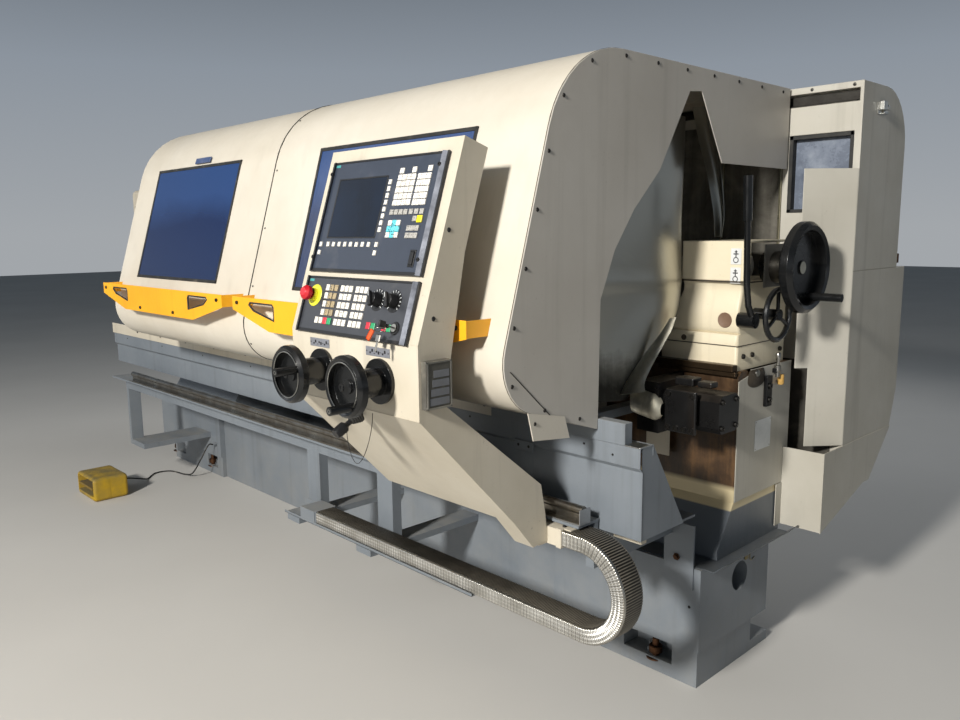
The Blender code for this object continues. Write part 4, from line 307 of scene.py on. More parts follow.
oily_tray = enamel("oily_tray_enamel", "#525960", "#43494f", grime="#2a2926", dust="#6a6862", run=0.4, dusty=0.35,
                   speck=0.5, rough=0.3)
paint(("drip_tray",), oily_tray, edge=0.0015, sharpest=28)

# Operator panel and machine panel: anodised aluminium fronts, 483 mm wide, screwed to the column's leaning face.
# Bright chamfered profiles close their sides; a dark display and moulded keys sit in them.
FACE = Matrix(((1, 0, 0), (0, 0.30975, -0.95082), (0, 0.95082, 0.30975))).to_4x4()
FACE.translation = at(-0.74, -0.9547, 1.187)
PANEL_LEFT = 0.033
UPPER_TOP = 0.473
LOWER_TOP = 0.150
PANEL_WIDE = 0.483
UPPER_HIGH = 0.310
LOWER_HIGH = 0.155
PANEL_FRONT = 0.0083


def select_none():
    """Leaves object mode with nothing selected, because an operator acts on all that is selected."""
    if bpy.context.object and bpy.context.object.mode != "OBJECT":
        bpy.ops.object.mode_set(mode="OBJECT")
    bpy.ops.object.select_all(action="DESELECT")


def block(name, low, high, edge=0.0, segments=2):
    """A squared piece between two corners, with its edges bevelled in edit mode."""
    select_none()
    low, high = Vector(low), Vector(high)
    bpy.ops.mesh.primitive_cube_add(size=1, location=(0, 0, 0))
    piece = bpy.context.object
    piece.name = name
    for vertex in piece.data.vertices:
        vertex.co = Vector((low[i] if vertex.co[i] < 0 else high[i]) for i in range(3))
    if edge:
        bpy.ops.object.mode_set(mode="EDIT")
        bpy.ops.mesh.select_all(action="SELECT")
        bpy.ops.mesh.bevel(offset=edge, segments=segments, affect="EDGES")
        bpy.ops.object.mode_set(mode="OBJECT")
    return piece


def close_up(piece, fill=False):
    """Merges doubled points, closes open ends where asked, and turns the faces outwards."""
    bpy.ops.object.mode_set(mode="EDIT")
    bpy.ops.mesh.select_all(action="SELECT")
    bpy.ops.mesh.remove_doubles(threshold=1e-6)
    if fill:
        bpy.ops.mesh.fill_holes(sides=0)
    bpy.ops.mesh.normals_make_consistent(inside=False)
    bpy.ops.object.mode_set(mode="OBJECT")


def turned(name, profile, steps=32, centre=(0, 0, 0), axis=(0, 0, 1)):
    """A round piece: a ring of points takes its outline, as radius and height pairs, and is spun about the axis."""
    select_none()
    bpy.ops.mesh.primitive_circle_add(vertices=len(profile))
    piece = bpy.context.object
    piece.name = name
    for vertex, (radius, height) in zip(piece.data.vertices, profile):
        vertex.co = (radius, 0, height)
    bpy.ops.object.mode_set(mode="EDIT")
    bpy.ops.mesh.select_all(action="SELECT")
    bpy.ops.mesh.spin(steps=steps, angle=math.tau, center=(0, 0, 0), axis=(0, 0, 1))
    close_up(piece)
    turn = Vector((0, 0, 1)).rotation_difference(Vector(axis)).to_matrix().to_4x4()
    piece.data.transform(Matrix.Translation(centre) @ turn)
    return smooth(piece, 32)


def smooth(piece, angle=32):
    """Smooth shading that keeps the edges sharper than the angle."""
    select_none()
    piece.select_set(True)
    bpy.context.view_layer.objects.active = piece
    bpy.ops.object.shade_smooth_by_angle(angle=math.radians(angle))
    return piece


def together(name, pieces):
    """Joins pieces into one object."""
    select_none()
    for piece in pieces:
        piece.select_set(True)
    bpy.context.view_layer.objects.active = pieces[0]
    if len(pieces) > 1:
        bpy.ops.object.join()
    pieces[0].name = name
    return pieces[0]


def copies(name, model, places):
    """One piece made of a copy of the model, with its own mesh, at each place; the model is used up."""
    made = []
    for place in places:
        spot = place if isinstance(place, Matrix) else Matrix.Translation(place)
        twin = model.copy()
        twin.data = model.data.copy()
        twin.data.transform(spot)
        bpy.context.collection.objects.link(twin)
        made.append(twin)
    bpy.data.objects.remove(model, do_unlink=True)
    return together(name, made)


def pick(piece, wanted):
    """Opens a piece in edit mode with only the wanted faces selected."""
    select_none()
    bpy.context.view_layer.objects.active = piece
    bpy.context.tool_settings.mesh_select_mode = (False, False, True)
    for face in piece.data.polygons:
        face.select = wanted(face)
    bpy.ops.object.mode_set(mode="EDIT")


def mount(piece, finish, body, matrix=None):
    """Puts a modelled piece in its place, gives it its finish and the body that carries it."""
    if matrix is not None:
        piece.data.transform(matrix)
    if finish is not None:
        piece.data.materials.clear()
        piece.data.materials.append(finish)
    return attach(piece, body)


def plastic(name, shade, second=None, rough=0.42, grain=900, worn=0.25, metal=0.0, ior=1.5, dusty="#a39a8b"):
    """Moulded or coated plastic: even colour, fine moulded grain, a little hand grease and dust in patches."""
    finish, tree, place = new_finish(name)
    fine = add_node(tree, "TexNoise", {"Vector": place, "Scale": grain, "Detail": 2})
    wide = add_node(tree, "TexNoise", {"Vector": place, "Scale": 14, "Detail": 6, "Roughness": 0.65})
    tone = add_node(tree, "ValToRGB", {"Fac": wide}, [(0.35, shade), (0.68, second or shade)])
    dirt = add_node(tree, "MapRange", {"Value": wide, "From Min": 0.56, "From Max": 0.8, "To Max": worn})
    colour = add_node(tree, "MixRGB", {"Fac": dirt, "Color1": tone, "Color2": linear(dusty)})
    gloss = add_node(tree, "Math", {0: wide, 1: 0.3, 2: rough - 0.14}, operation="MULTIPLY_ADD")
    bump = add_node(tree, "Bump", {"Height": fine, "Strength": 0.15, "Distance": 0.0003})
    close_finish(tree, {"Base Color": colour, "Roughness": gloss, "IOR": ior, "Metallic": metal, "Normal": bump})
    return finish


def brushed_metal(name, shade, second, rough=0.3, lines=(3, 3, 220), scratch=0.12):
    """Drawn or ground metal: fine parallel lines, slightly uneven polish, and a film of oil and dust."""
    finish, tree, place = new_finish(name)
    stretched = add_node(tree, "Mapping", {"Vector": place, "Scale": lines})
    grain = add_node(tree, "TexNoise", {"Vector": stretched, "Scale": 4, "Detail": 5})
    wide = add_node(tree, "TexNoise", {"Vector": place, "Scale": 9, "Detail": 6, "Roughness": 0.7})
    tone = add_node(tree, "ValToRGB", {"Fac": wide}, [(0.36, shade), (0.66, second)])
    gloss = add_node(tree, "Math", {0: wide, 1: 0.45, 2: rough - 0.2}, operation="MULTIPLY_ADD")
    bump = add_node(tree, "Bump", {"Height": grain, "Strength": scratch, "Distance": 0.0006})
    close_finish(tree, {"Base Color": tone, "Roughness": gloss, "Metallic": 1.0, "Normal": bump})
    return finish


slate = plastic("slate_anodised_aluminium", "#2b323f", "#343b48", rough=0.36, worn=0.1)
charcoal = plastic("charcoal_anodised_aluminium", "#34363b", "#3d3f44", rough=0.38, worn=0.12)
paint(("operator_panel",), slate, edge=0.0015)
paint(("machine_panel",), charcoal, edge=0.0015)
bright_strip = brushed_metal("brushed_aluminium_profile", "#54565c", "#3d3f44", rough=0.46)
black_moulding = plastic("black_moulded_plastic", "#121213", "#1d1d1e", rough=0.4, worn=0.1)


def panel_spot(top, u, v, out=PANEL_FRONT):
    """A place on a panel, measured from its upper left corner, in the leaning face's own directions."""
    return Vector((PANEL_LEFT + u, top - v, out))


for name, top, high in (("upper", UPPER_TOP, UPPER_HIGH), ("lower", LOWER_TOP, LOWER_HIGH)):
    strips = []
    for side, inner, outer in (("left", 0.014, 0.004), ("right", PANEL_WIDE - 0.018, PANEL_WIDE - 0.005)):
        strip = block(f"{name}_{side}", panel_spot(top, min(inner, outer), high - 0.0005, PANEL_FRONT - 0.001),
                      panel_spot(top, max(inner, outer), 0.0005, PANEL_FRONT + 0.006))
        for vertex in strip.data.vertices:
            if vertex.co.z > PANEL_FRONT and abs(vertex.co.x - PANEL_LEFT - outer) < 1e-4:
                vertex.co.z = PANEL_FRONT + 0.0006
        strips.append(strip)
    mount(together(f"{name}_panel_side_profiles", strips), bright_strip, "saddle", FACE)
    edges = [block(f"{name}_edge_{i}", panel_spot(top, a, b, PANEL_FRONT - 0.004),
                   panel_spot(top, c, d, PANEL_FRONT + e), 0.0006, 1)
             for i, (a, b, c, d, e) in enumerate((
                 (0.014, 0.0062, PANEL_WIDE - 0.018, 0.0004, 0.0016),
                 (0.014, high - 0.0004, PANEL_WIDE - 0.018, high - 0.0085, 0.0016),
                 (PANEL_WIDE - 0.005, high + 0.0006, PANEL_WIDE + 0.0012, -0.0006, 0.0008),
                 (-0.0012, high + 0.0006, 0.004, -0.0006, 0.0008)))]
    mount(together(f"{name}_panel_edges", edges), black_moulding, "saddle", FACE)

# Display: dark glass in a thin frame, behind the operator panel's front. The glass reflects softly.
DISPLAY = (0.052, 0.054, 0.263, 0.213)
frame_bars = [block(f"display_frame_{i}", panel_spot(UPPER_TOP, a, d, PANEL_FRONT - 0.001),
                    panel_spot(UPPER_TOP, c, b, PANEL_FRONT + 0.0012), 0.0005, 1)
              for i, (a, b, c, d) in enumerate((
                  (DISPLAY[0] - 0.004, DISPLAY[1] - 0.004, DISPLAY[2] + 0.004, DISPLAY[1]),
                  (DISPLAY[0] - 0.004, DISPLAY[3], DISPLAY[2] + 0.004, DISPLAY[3] + 0.004),
                  (DISPLAY[0] - 0.004, DISPLAY[1] - 0.0002, DISPLAY[0], DISPLAY[3] + 0.0002),
                  (DISPLAY[2], DISPLAY[1] - 0.0002, DISPLAY[2] + 0.004, DISPLAY[3] + 0.0002)))]
mount(together("display_frame", frame_bars), black_moulding, "saddle", FACE)
glass, tree, place = new_finish("display_glass")
haze = add_node(tree, "TexNoise", {"Vector": place, "Scale": 6, "Detail": 3})
tone = add_node(tree, "ValToRGB", {"Fac": haze}, [(0.35, "#08121f"), (0.7, "#0f1c2e")])
smear = add_node(tree, "Math", {0: haze, 1: 0.2, 2: 0.02}, operation="MULTIPLY_ADD")
close_finish(tree, {"Base Color": tone, "Roughness": smear, "IOR": 1.52, "Specular IOR Level": 0.1})
mount(block("display_pane", panel_spot(UPPER_TOP, DISPLAY[0], DISPLAY[3], PANEL_FRONT - 0.001),
            panel_spot(UPPER_TOP, DISPLAY[2], DISPLAY[1], PANEL_FRONT + 0.0004), 0.0003, 1), glass, "saddle", FACE)

# Key caps: two-shot moulded plastic, 12 to 18 mm square with dished tops. The marks on them are plain strokes.
key_white = plastic("ivory_key_plastic", "#e6e2d8", "#dad5c8", rough=0.5, worn=0.2)


def key_legend(name, ground, ink):
    """A key's printed top: strokes about 2 mm long on the cap's colour, as a legend reads from afar."""
    finish, tree, place = new_finish(name)
    marks = add_node(tree, "TexNoise", {"Vector": place, "Scale": 330, "Detail": 1, "Distortion": 0.6})
    print_mask = add_node(tree, "ValToRGB", {"Fac": marks}, [(0.36, ink), (0.42, ground)])
    close_finish(tree, {"Base Color": print_mask, "Roughness": 0.5})
    return finish


white_legend = key_legend("ivory_key_print", "#e4e0d6", "#8b7f7a")


def key_caps(name, top, places, wide, high, cap, legend):
    """Key caps at places on a panel: a block drawn in to its top, with a dished legend face."""
    select_none()
    bpy.ops.mesh.primitive_cube_add(size=1)
    model = bpy.context.object
    model.data.transform(Matrix.Translation((0, 0, 0.0012)) @ Matrix.Diagonal((wide, high, 0.0034, 1)))
    model.data.materials.append(cap)
    model.data.materials.append(legend)
    for face in model.data.polygons:
        face.material_index = 1 if face.normal.z > 0.9 else 0
    pick(model, lambda face: face.normal.z > 0.9)
    bpy.ops.mesh.inset(thickness=0.0011, depth=0.0006)
    bpy.ops.mesh.inset(thickness=wide * 0.14, depth=-0.0003)
    bpy.ops.object.mode_set(mode="OBJECT")
    keys = copies(name, model, [panel_spot(top, u, v) for u, v in places])
    return mount(keys, None, "saddle", FACE)


ROW = 0.234
soft = [(0.281, 0.069 + 0.018 * i) for i in range(8)] + [(0.064 + 0.0264 * i, ROW) for i in range(8)]
soft += [(0.029, ROW), (0.282, ROW), (0.029, 0.257), (0.282, 0.256)]
key_caps("soft_keys", UPPER_TOP, soft, 0.0115, 0.0125, key_white, white_legend)
letters = [(0.319 + 0.0178 * i, 0.0595 + 0.0165 * j) for i in range(4) for j in range(5)]
letters += [(0.397 + 0.0168 * i, 0.0605 + 0.0165 * j) for i in range(3) for j in range(5)]
letters += [(0.321, 0.042), (0.370, 0.042), (0.430, 0.042)]
key_caps("letter_and_number_keys", UPPER_TOP, letters, 0.0158, 0.0145, key_white, white_legend)
key_grey = plastic("grey_key_plastic", "#a8a59f", "#98958f", rough=0.5)
grey_legend = key_legend("grey_key_print", "#a6a39c", "#5f5d5a")
greys = [(0.315 + 0.0185 * i, 0.150) for i in range(4)] + [(0.392 + 0.0205 * i, 0.150) for i in range(3)]
greys += [(0.412, 0.168)] + [(0.397 + 0.0155 * i, 0.192 + 0.0185 * j) for i in range(3) for j in range(2)]
key_caps("grey_keys", UPPER_TOP, greys, 0.0145, 0.0135, key_grey, grey_legend)
key_caps("corner_keys", UPPER_TOP, [(0.319 + 0.0335 * i, 0.178 + 0.031 * j) for i in range(2) for j in range(2)],
         0.0145, 0.0135, key_white, white_legend)
cyan = plastic("cyan_key_plastic", "#62c4cf", "#55b4bf", rough=0.48)
cyan_legend = key_legend("cyan_key_print", "#62c4cf", "#14303a")
key_caps("cursor_keys", UPPER_TOP, [(0.336, 0.178), (0.319, 0.1935), (0.336, 0.1935), (0.3525, 0.1935),
                                    (0.336, 0.209)], 0.0155, 0.0145, cyan, cyan_legend)
yellow_key = plastic("yellow_key_plastic", "#f3df1c", "#e6d018", rough=0.45)
key_caps("enter_key", UPPER_TOP, [(0.431, 0.169)], 0.0185, 0.0175, yellow_key, yellow_key)

LOWER_ROWS = (0.0305, 0.0525, 0.075, 0.0975, 0.1205)
whites = [(0.113, row) for row in LOWER_ROWS] + [(0.093, LOWER_ROWS[4])]
whites += [(u, row) for row in LOWER_ROWS for u in (0.181, 0.200, 0.2185, 0.2475, 0.2665, 0.2855)]
key_caps("machine_keys", LOWER_TOP, whites, 0.0145, 0.0165, key_white, white_legend)
brown_legend = key_legend("bronze_key_print", "#a59473", "#4c4436")
key_bronze = plastic("bronze_key_plastic", "#9a8a6c", "#8c7d62", rough=0.5)
key_caps("dim_machine_keys", LOWER_TOP, [(u, row) for row in LOWER_ROWS[:4] for u in (0.1325, 0.152)], 0.0145,
         0.0165, key_bronze, brown_legend)
red_key = plastic("red_key_plastic", "#c8313f", "#b62a38", rough=0.42)
green_key = plastic("green_key_plastic", "#2f9c66", "#288a59", rough=0.42)
key_caps("red_keys", LOWER_TOP, [(0.1322, 0.1205), (0.325, 0.119), (0.390, 0.119)], 0.0165, 0.0175, red_key, red_key)
key_caps("green_keys", LOWER_TOP, [(0.1512, 0.1205), (0.3445, 0.1195), (0.4085, 0.119)], 0.0165, 0.0175, green_key,
         green_key)

# Panel fittings: black cap screws, the hinged slot cover at the lower right, and two bare name tabs.
screws = []
for number, (top, u, v) in enumerate(((UPPER_TOP, 0.4635, 0.035), (UPPER_TOP, 0.4635, 0.271), (UPPER_TOP, 0.009, 0.035),
                                      (UPPER_TOP, 0.009, 0.271))):
    screws.append(turned(f"panel_screw_{number}", [(0, 0.0066), (0.0022, 0.0066), (0.0022, 0.0088), (0.0048, 0.0086),
                                                  (0.0056, 0.0074), (0.0056, 0), (0, 0)], 20,
                        panel_spot(top, u, v, PANEL_FRONT - 0.001)))
screws.append(block("slot_cover_back", panel_spot(UPPER_TOP, 0.424, 0.289), panel_spot(UPPER_TOP, 0.446, 0.246,
                                                                                      PANEL_FRONT + 0.002), 0.0008))
screws.append(block("slot_cover", panel_spot(UPPER_TOP, 0.428, 0.285), panel_spot(UPPER_TOP, 0.442, 0.250,
                                                                                 PANEL_FRONT + 0.0055), 0.0025, 3))
mount(together("panel_fittings", screws), black_moulding, "saddle", FACE)
tabs = [block(f"name_tab_{i}", panel_spot(top, 0.016, 0.0155), panel_spot(top, 0.036, 0.0085, PANEL_FRONT + 0.0004),
              0.0001, 1) for i, top in enumerate((UPPER_TOP, LOWER_TOP))]
mount(together("bare_name_tabs", tabs), plastic("petrol_label_film", "#3d8f8f", "#4a9b98", rough=0.4), "saddle", FACE)

# Emergency stop: red moulded mushroom over a yellow collar and warning ring, on the machine panel's left.
STOP_AT = (0.058, 0.054)
stop_red = plastic("red_moulded_plastic", "#c41f2b", "#ae1822", rough=0.32, worn=0.12)
paint(("emergency_stop",), stop_red, edge=0.0012)
safety_yellow = plastic("safety_yellow_plastic", "#e8e337", "#d6cf2e", rough=0.42, worn=0.2)
ring = turned("stop_ring", [(0.0135, 0), (0.0135, 0.0022), (0.0285, 0.0022), (0.030, 0.0012), (0.030, 0)], 48,
             panel_spot(LOWER_TOP, *STOP_AT, PANEL_FRONT - 0.0001))
collar = turned("stop_collar", [(0.0128, 0.0005), (0.0128, 0.0142), (0.0152, 0.0150), (0.0170, 0.0140),
                                (0.0175, 0.0022), (0.0175, 0.0005)], 40, panel_spot(LOWER_TOP, *STOP_AT))
mount(together("stop_ring_and_collar", [ring, collar]), safety_yellow, "saddle", FACE)

# Override knobs: black moulded knobs with a pointer ridge, over dials with white ticks printed round them.
KNOBS = (("override_knob_1", 0.338, 0.052), ("override_knob_2", 0.404, 0.052))
paint(("override_knob_1", "override_knob_2"), black_moulding, edge=0.0015)
print_white = plastic("white_print", "#d9dcdc", "#c9cccc", rough=0.55)
for name, u, v in KNOBS:
    centre = panel_spot(LOWER_TOP, u, v)
    dial = turned(f"{name}_dial", [(0.0185, 0), (0.0185, 0.0007), (0.0282, 0.0007), (0.0286, 0)], 48, centre)
    mount(dial, black_moulding, "saddle", FACE)
    tick = block("tick", (-0.0006, 0.0215, 0.0006), (0.0006, 0.0245, 0.00095))
    number = block("number", (-0.0013, 0.0252, 0.0006), (0.0013, 0.0272, 0.00095))
    angles = [math.radians(-135 + 22.5 * i) for i in range(13)]
    both = together("tick", [tick, number])
    ticks = copies(f"{name}_ticks", both, [Matrix.Translation(centre) @ Matrix.Rotation(a, 4, "Z") for a in angles])
    mount(ticks, print_white, "saddle", FACE)
    ridge = block(f"{name}_ridge", (-0.0055, -0.021, 0.0215), (0.0055, 0.0175, 0.030), 0.002, 3)
    line = block(f"{name}_line", (-0.0009, 0.004, 0.0296), (0.0009, 0.0168, 0.0303))
    line.data.materials.append(print_white)
    ridge.data.materials.append(black_moulding)
    tilt = Matrix.Translation(centre) @ Matrix.Rotation(math.radians(22), 4, "Z")
    mount(together(f"{name}_pointer", [ridge, line]), None, name, FACE @ tilt)

# Key switch: nickel-plated barrel with its key left in, and a spare key and an orange tag on a split ring below it.
nickel = brushed_metal("nickel_plated_brass", "#b9b6ad", "#8f8c84", rough=0.3)
paint(("key_switch",), nickel, edge=0.0008)
KEY_AT = panel_spot(LOWER_TOP, 0.431, 0.117)
mount(turned("key_switch_nut", [(0.0112, 0), (0.0112, 0.0035), (0.0150, 0.0032), (0.0162, 0.0015), (0.0162, 0)], 36,
            KEY_AT), black_moulding, "saddle", FACE)
KEY_OUT = FACE @ Matrix.Translation(KEY_AT)
key_parts = [block("key_blade", (-0.0012, -0.0045, 0.020), (0.0012, 0.0045, 0.033), 0.0004, 1),
             block("key_bow", (-0.0035, -0.010, 0.031), (0.0035, 0.010, 0.051), 0.003, 3)]
mount(together("key", key_parts), black_moulding, "key_switch", KEY_OUT)
select_none()
bpy.ops.mesh.primitive_torus_add(major_segments=28, minor_segments=8, major_radius=0.0125, minor_radius=0.0009,
                                 rotation=(math.radians(90), 0, math.radians(25)))
bpy.ops.object.transform_apply(location=True, rotation=True, scale=True)
ring = smooth(bpy.context.object, 60)
ring.data.transform(Matrix.Translation((0.002, -0.013, 0.046)))
spare = [ring, block("spare_bow", (-0.009, -0.043, 0.041), (0.009, -0.024, 0.045), 0.0022, 2),
         block("spare_blade", (-0.0035, -0.066, 0.0422), (0.0035, -0.042, 0.044), 0.0005, 1)]
mount(together("key_ring", spare), nickel, "key_switch", KEY_OUT)
orange_tag = plastic("orange_tag_plastic", "#d8551e", "#b9481c", rough=0.45)
tag = block("key_tag", (-0.0105, -0.046, 0.046), (0.0045, -0.018, 0.0485), 0.003, 3)
tag.data.transform(Matrix.Translation((-0.012, 0, 0)) @ Matrix.Rotation(math.radians(-24), 4, "Z"))
mount(tag, orange_tag, "key_switch", KEY_OUT)

# Handwheels on the column: cast iron in black enamel with dished discs, turned rims and a screwed-on crank grip.
# Their drums carry a black graduated ring and their rims a bright one; an engraved plate is riveted over each wheel.
wheel_black = enamel("black_enamel_cast_iron", "#0c0d0e", "#161718", grime="#3d3a35", dust="#4d4944", run=0.1,
                     dusty=0.2, speck=0.25, rough=0.13)
paint(("handwheel_1", "handwheel_2", "tailstock_wheel", "traverse_wheel", "wheel_flange_1", "wheel_flange_2",
       "clamp_lever"), wheel_black, edge=0.0008)
turned_steel = brushed_metal("turned_steel", "#b4b3ae", "#8c8a84", rough=0.26, lines=(260, 3, 3))
HUBS = (("handwheel_1", -0.590, 20), ("handwheel_2", -0.336, -52))
WHEEL_HEIGHT = 1.086
for name, x, crank in HUBS:
    hub = at(x, -1.0735, WHEEL_HEIGHT)
    washer = turned(f"{name}_washer", [(0, 0.0012), (0.0045, 0.0012), (0.0055, 0.0035), (0.0085, 0.0035),
                                       (0.0095, 0.0022), (0.0095, 0), (0, 0)], 28, hub + Vector((0, 0.0045, 0)),
                    (0, -1, 0))
    mount(washer, wheel_black, name)
    edge = turned(f"{name}_rim_ring", [(0.0585, 0), (0.0585, 0.0009), (0.0600, 0.0014), (0.0612, 0.0009), (0.0612, 0)],
                  64, at(x, -1.0690, WHEEL_HEIGHT), (0, -1, 0))
    mount(edge, turned_steel, name)
    band = turned(f"{name}_graduated_ring", [(0.0358, 0), (0.0372, 0), (0.0372, 0.0045), (0.0358, 0.0045)], 48,
                  at(x, -1.0235, WHEEL_HEIGHT), (0, -1, 0))
    mount(band, wheel_black, "saddle")
    rim = turned(f"{name}_flange_lip", [(0.0500, 0), (0.0566, 0), (0.0566, 0.0012), (0.0545, 0.0026), (0.0500, 0.0026)],
                 56, at(x, -0.9615, WHEEL_HEIGHT), (0, -1, 0))
    mount(rim, wheel_black, "saddle")
    angle = math.radians(crank)
    tip = at(x + 0.055 * math.cos(angle), -1.1312, WHEEL_HEIGHT + 0.055 * math.sin(angle))
    socket = turned(f"{name}_grip_screw", [(0, 0.0003), (0.0024, 0.0003), (0.0030, 0.0016), (0.0056, 0.0016),
                                           (0.0064, 0.0004), (0.0064, -0.002), (0, -0.002)], 20,
                    tip + Vector((0, 0.0020, 0)), (0, -1, 0))
    mount(socket, turned_steel, name)
bare_plate = plastic("engraved_aluminium_plate", "#93959c", "#7f8188", rough=0.42, metal=0.3)
for number, (left, right, top, low) in enumerate(((-0.648, -0.556, 1.169, 1.146), (-0.393, -0.296, 1.169, 1.146))):
    plate = block(f"wheel_plate_{number}", at(left, -0.9562, low), at(right, -0.9548, top), 0.0006, 1)
    mount(plate, bare_plate, "saddle")
    for x in (left + 0.005, right - 0.005):
        rivet = turned(f"plate_rivet_{number}_m{-int(x * 1000)}", [(0, 0.0012), (0.0012, 0.001), (0.0018, 0), (0, 0)],
                       12, at(x, -0.9562, (top + low) / 2), (0, -1, 0))
        mount(rivet, black_moulding, "saddle")
    rule = [block(f"rule_{number}_{i}", at(left + 0.016 + 0.0085 * i, -0.9566, low + 0.006 + 0.004 * (i % 2)),
                  at(left + 0.022 + 0.0085 * i, -0.9560, low + 0.0075 + 0.004 * (i % 2) + 0.003 * ((i + 1) % 3)))
            for i in range(8)]
    mount(together(f"plate_scale_{number}", rule), black_moulding, "saddle")

# Joystick: black moulded grip in a ribbed rubber boot under the column's chin; a thin bead chain hangs from it.
# The boot is clamped on the column.
paint(("joystick",), black_moulding, edge=0.0006)
STICK_ALONG = Vector((0, -0.876, -0.483)).normalized()
stick_pivot = at(-0.440, -0.954, 0.984)
boot_profile = [(0, -0.003), (0.021, -0.003), (0.0215, 0.002), (0.018, 0.004), (0.0195, 0.0075), (0.0155, 0.0095),
                (0.0170, 0.0130), (0.0132, 0.0150), (0.0145, 0.0185), (0.0110, 0.0205), (0.0118, 0.0235),
                (0.0085, 0.026), (0, 0.026)]
boot = turned("joystick_boot", boot_profile, 36, stick_pivot, STICK_ALONG)
boot.data.materials.append(rubber)
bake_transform(boot)
hang = bpy.data.curves.new("joystick_bead_chain", "CURVE")
hang.dimensions = "3D"
hang.bevel_depth = 0.0009
hang.bevel_resolution = 2
spline = hang.splines.new("BEZIER")
spline.bezier_points.add(2)
BEAD_BENDS = ((at(-0.425, -0.9995, 0.952), (0, 0, -0.03), (0, 0, -0.03)),
              (at(-0.405, -0.985, 0.868), (-0.018, -0.004, 0), (0.018, 0.008, 0)),
              (at(-0.372, -0.9565, 1.000), (0, 0, -0.05), (0, 0, -0.05)))
for point, (spot, before, after) in zip(spline.bezier_points, BEAD_BENDS):
    point.co = spot
    point.handle_left_type = point.handle_right_type = "FREE"
    point.handle_left = spot + Vector(before)
    point.handle_right = spot + Vector(after)
select_none()
bead_chain = bpy.data.objects.new("joystick_bead_chain", hang)
bpy.context.collection.objects.link(bead_chain)
hang.materials.append(black_moulding)
bead_chain.select_set(True)
bpy.context.view_layer.objects.active = bead_chain
bpy.ops.object.convert(target="MESH")
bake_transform(bpy.context.object)

# Column: welded box of cream sheet. Two black plugs close holes in its side; the card box on it is a clear grey
# moulded case whose lid swings down, with the tool cards inside.
plugs = [turned(f"column_plug_{i}", [(0, 0.0018), (0.0045, 0.0016), (0.006, 0), (0, 0)], 20, at(-0.19, y, z), (1, 0, 0))
         for i, (y, z) in enumerate(((-0.852, 1.452), (-0.905, 1.246)))]
mount(together("column_side_plugs", plugs), black_moulding, "saddle")
smoky = plastic("smoky_clear_plastic", "#4c4a45", "#5d5b54", rough=0.2, worn=0.3)
paint(("card_box", "card_lid"), smoky, edge=0.0015)
card_rims = [block("card_rim_left", at(-0.1685, -0.9485, 1.036), at(-0.1650, -0.9440, 1.1495), 0.0006, 1),
             block("card_rim_right", at(-0.1685, -0.8760, 1.036), at(-0.1650, -0.8715, 1.1495), 0.0006, 1),
             block("card_rim_top", at(-0.1685, -0.9485, 1.1455), at(-0.1650, -0.8715, 1.1500), 0.0006, 1),
             block("card_rim_low", at(-0.1685, -0.9485, 1.0355), at(-0.1650, -0.8715, 1.0400), 0.0006, 1)]
mount(together("card_lid_rim", card_rims), nickel, "card_lid")
card_grey = plastic("grey_card_stack", "#76787c", "#5c5e62", rough=0.6)
cards = [block(f"card_{i}", at(-0.1668, -0.940 + 0.004 * i, 1.045 + 0.022 * i), at(-0.1660, -0.880, 1.062 + 0.022 * i),
               0.0002, 1) for i in range(4)]
mount(together("tool_cards", cards), card_grey, "card_lid")
for number, z in enumerate((1.146, 1.040)):
    mount(turned(f"card_box_screw_{number}", [(0, 0.0022), (0.003, 0.002), (0.0042, 0.0008), (0.0042, 0), (0, 0)], 16,
                 at(-0.1725, -0.943, z), (1, 0, 0)), nickel, "saddle")
seams = [block("column_seam_low", at(-0.7402, -0.9558, 1.0045), at(-0.1898, -0.9545, 1.0062)),
         block("column_front_joint", at(-0.7402, -0.9556, 1.1868), at(-0.1898, -0.9544, 1.1876))]
mount(together("column_joints", seams), worn_cream, "saddle")

# Hood windows: tinted polycarbonate in black rubber gaskets. Swarf has dulled them; blue tint gives a deep mirror.
LEAN = math.radians(16.3)
HOOD_BELLY = (-0.757, 1.165)
SHOULDER = 1.70
ROOF = 1.92
BELLY_ROUND = 0.14
# The tint is painted lighter towards the top of the window: a painted reflection of the sky.
tinted, tree, place = new_finish("blue_tinted_polycarbonate")
cloud = add_node(tree, "TexNoise", {"Vector": place, "Scale": 1.7, "Detail": 4})
height = add_node(tree, "SeparateXYZ", {"Vector": place}).outputs["Z"]
painted_sky_reflection = add_node(tree, "MapRange", {"Value": height, "From Min": 1.27, "From Max": 1.72})
mixed = add_node(tree, "Math", {0: cloud, 1: 0.6, 2: painted_sky_reflection}, operation="MULTIPLY_ADD")
tone = add_node(tree, "ValToRGB", {"Fac": mixed}, [(0.25, "#1b2a4c"), (0.75, "#16264a"), (1.0, "#263f6c")])
scratch = add_node(tree, "Mapping", {"Vector": place, "Scale": (60, 3, 9), "Rotation": (0, 0.5, 0)})
scratch = add_node(tree, "TexNoise", {"Vector": scratch, "Scale": 3, "Detail": 6})
smear = add_node(tree, "MapRange", {"Value": scratch, "From Min": 0.45, "From Max": 0.75, "To Min": 0.09,
                                    "To Max": 0.22})
close_finish(tree, {"Base Color": tone, "Roughness": smear, "IOR": 1.58, "Specular IOR Level": 0.3})
paint(("hood_left_window", "hood_right_window"), tinted, edge=0)


def front_y(z):
    """Where the leaning front of a hood stands at a height."""
    return HOOD_BELLY[0] + (z - HOOD_BELLY[1]) * math.tan(LEAN)


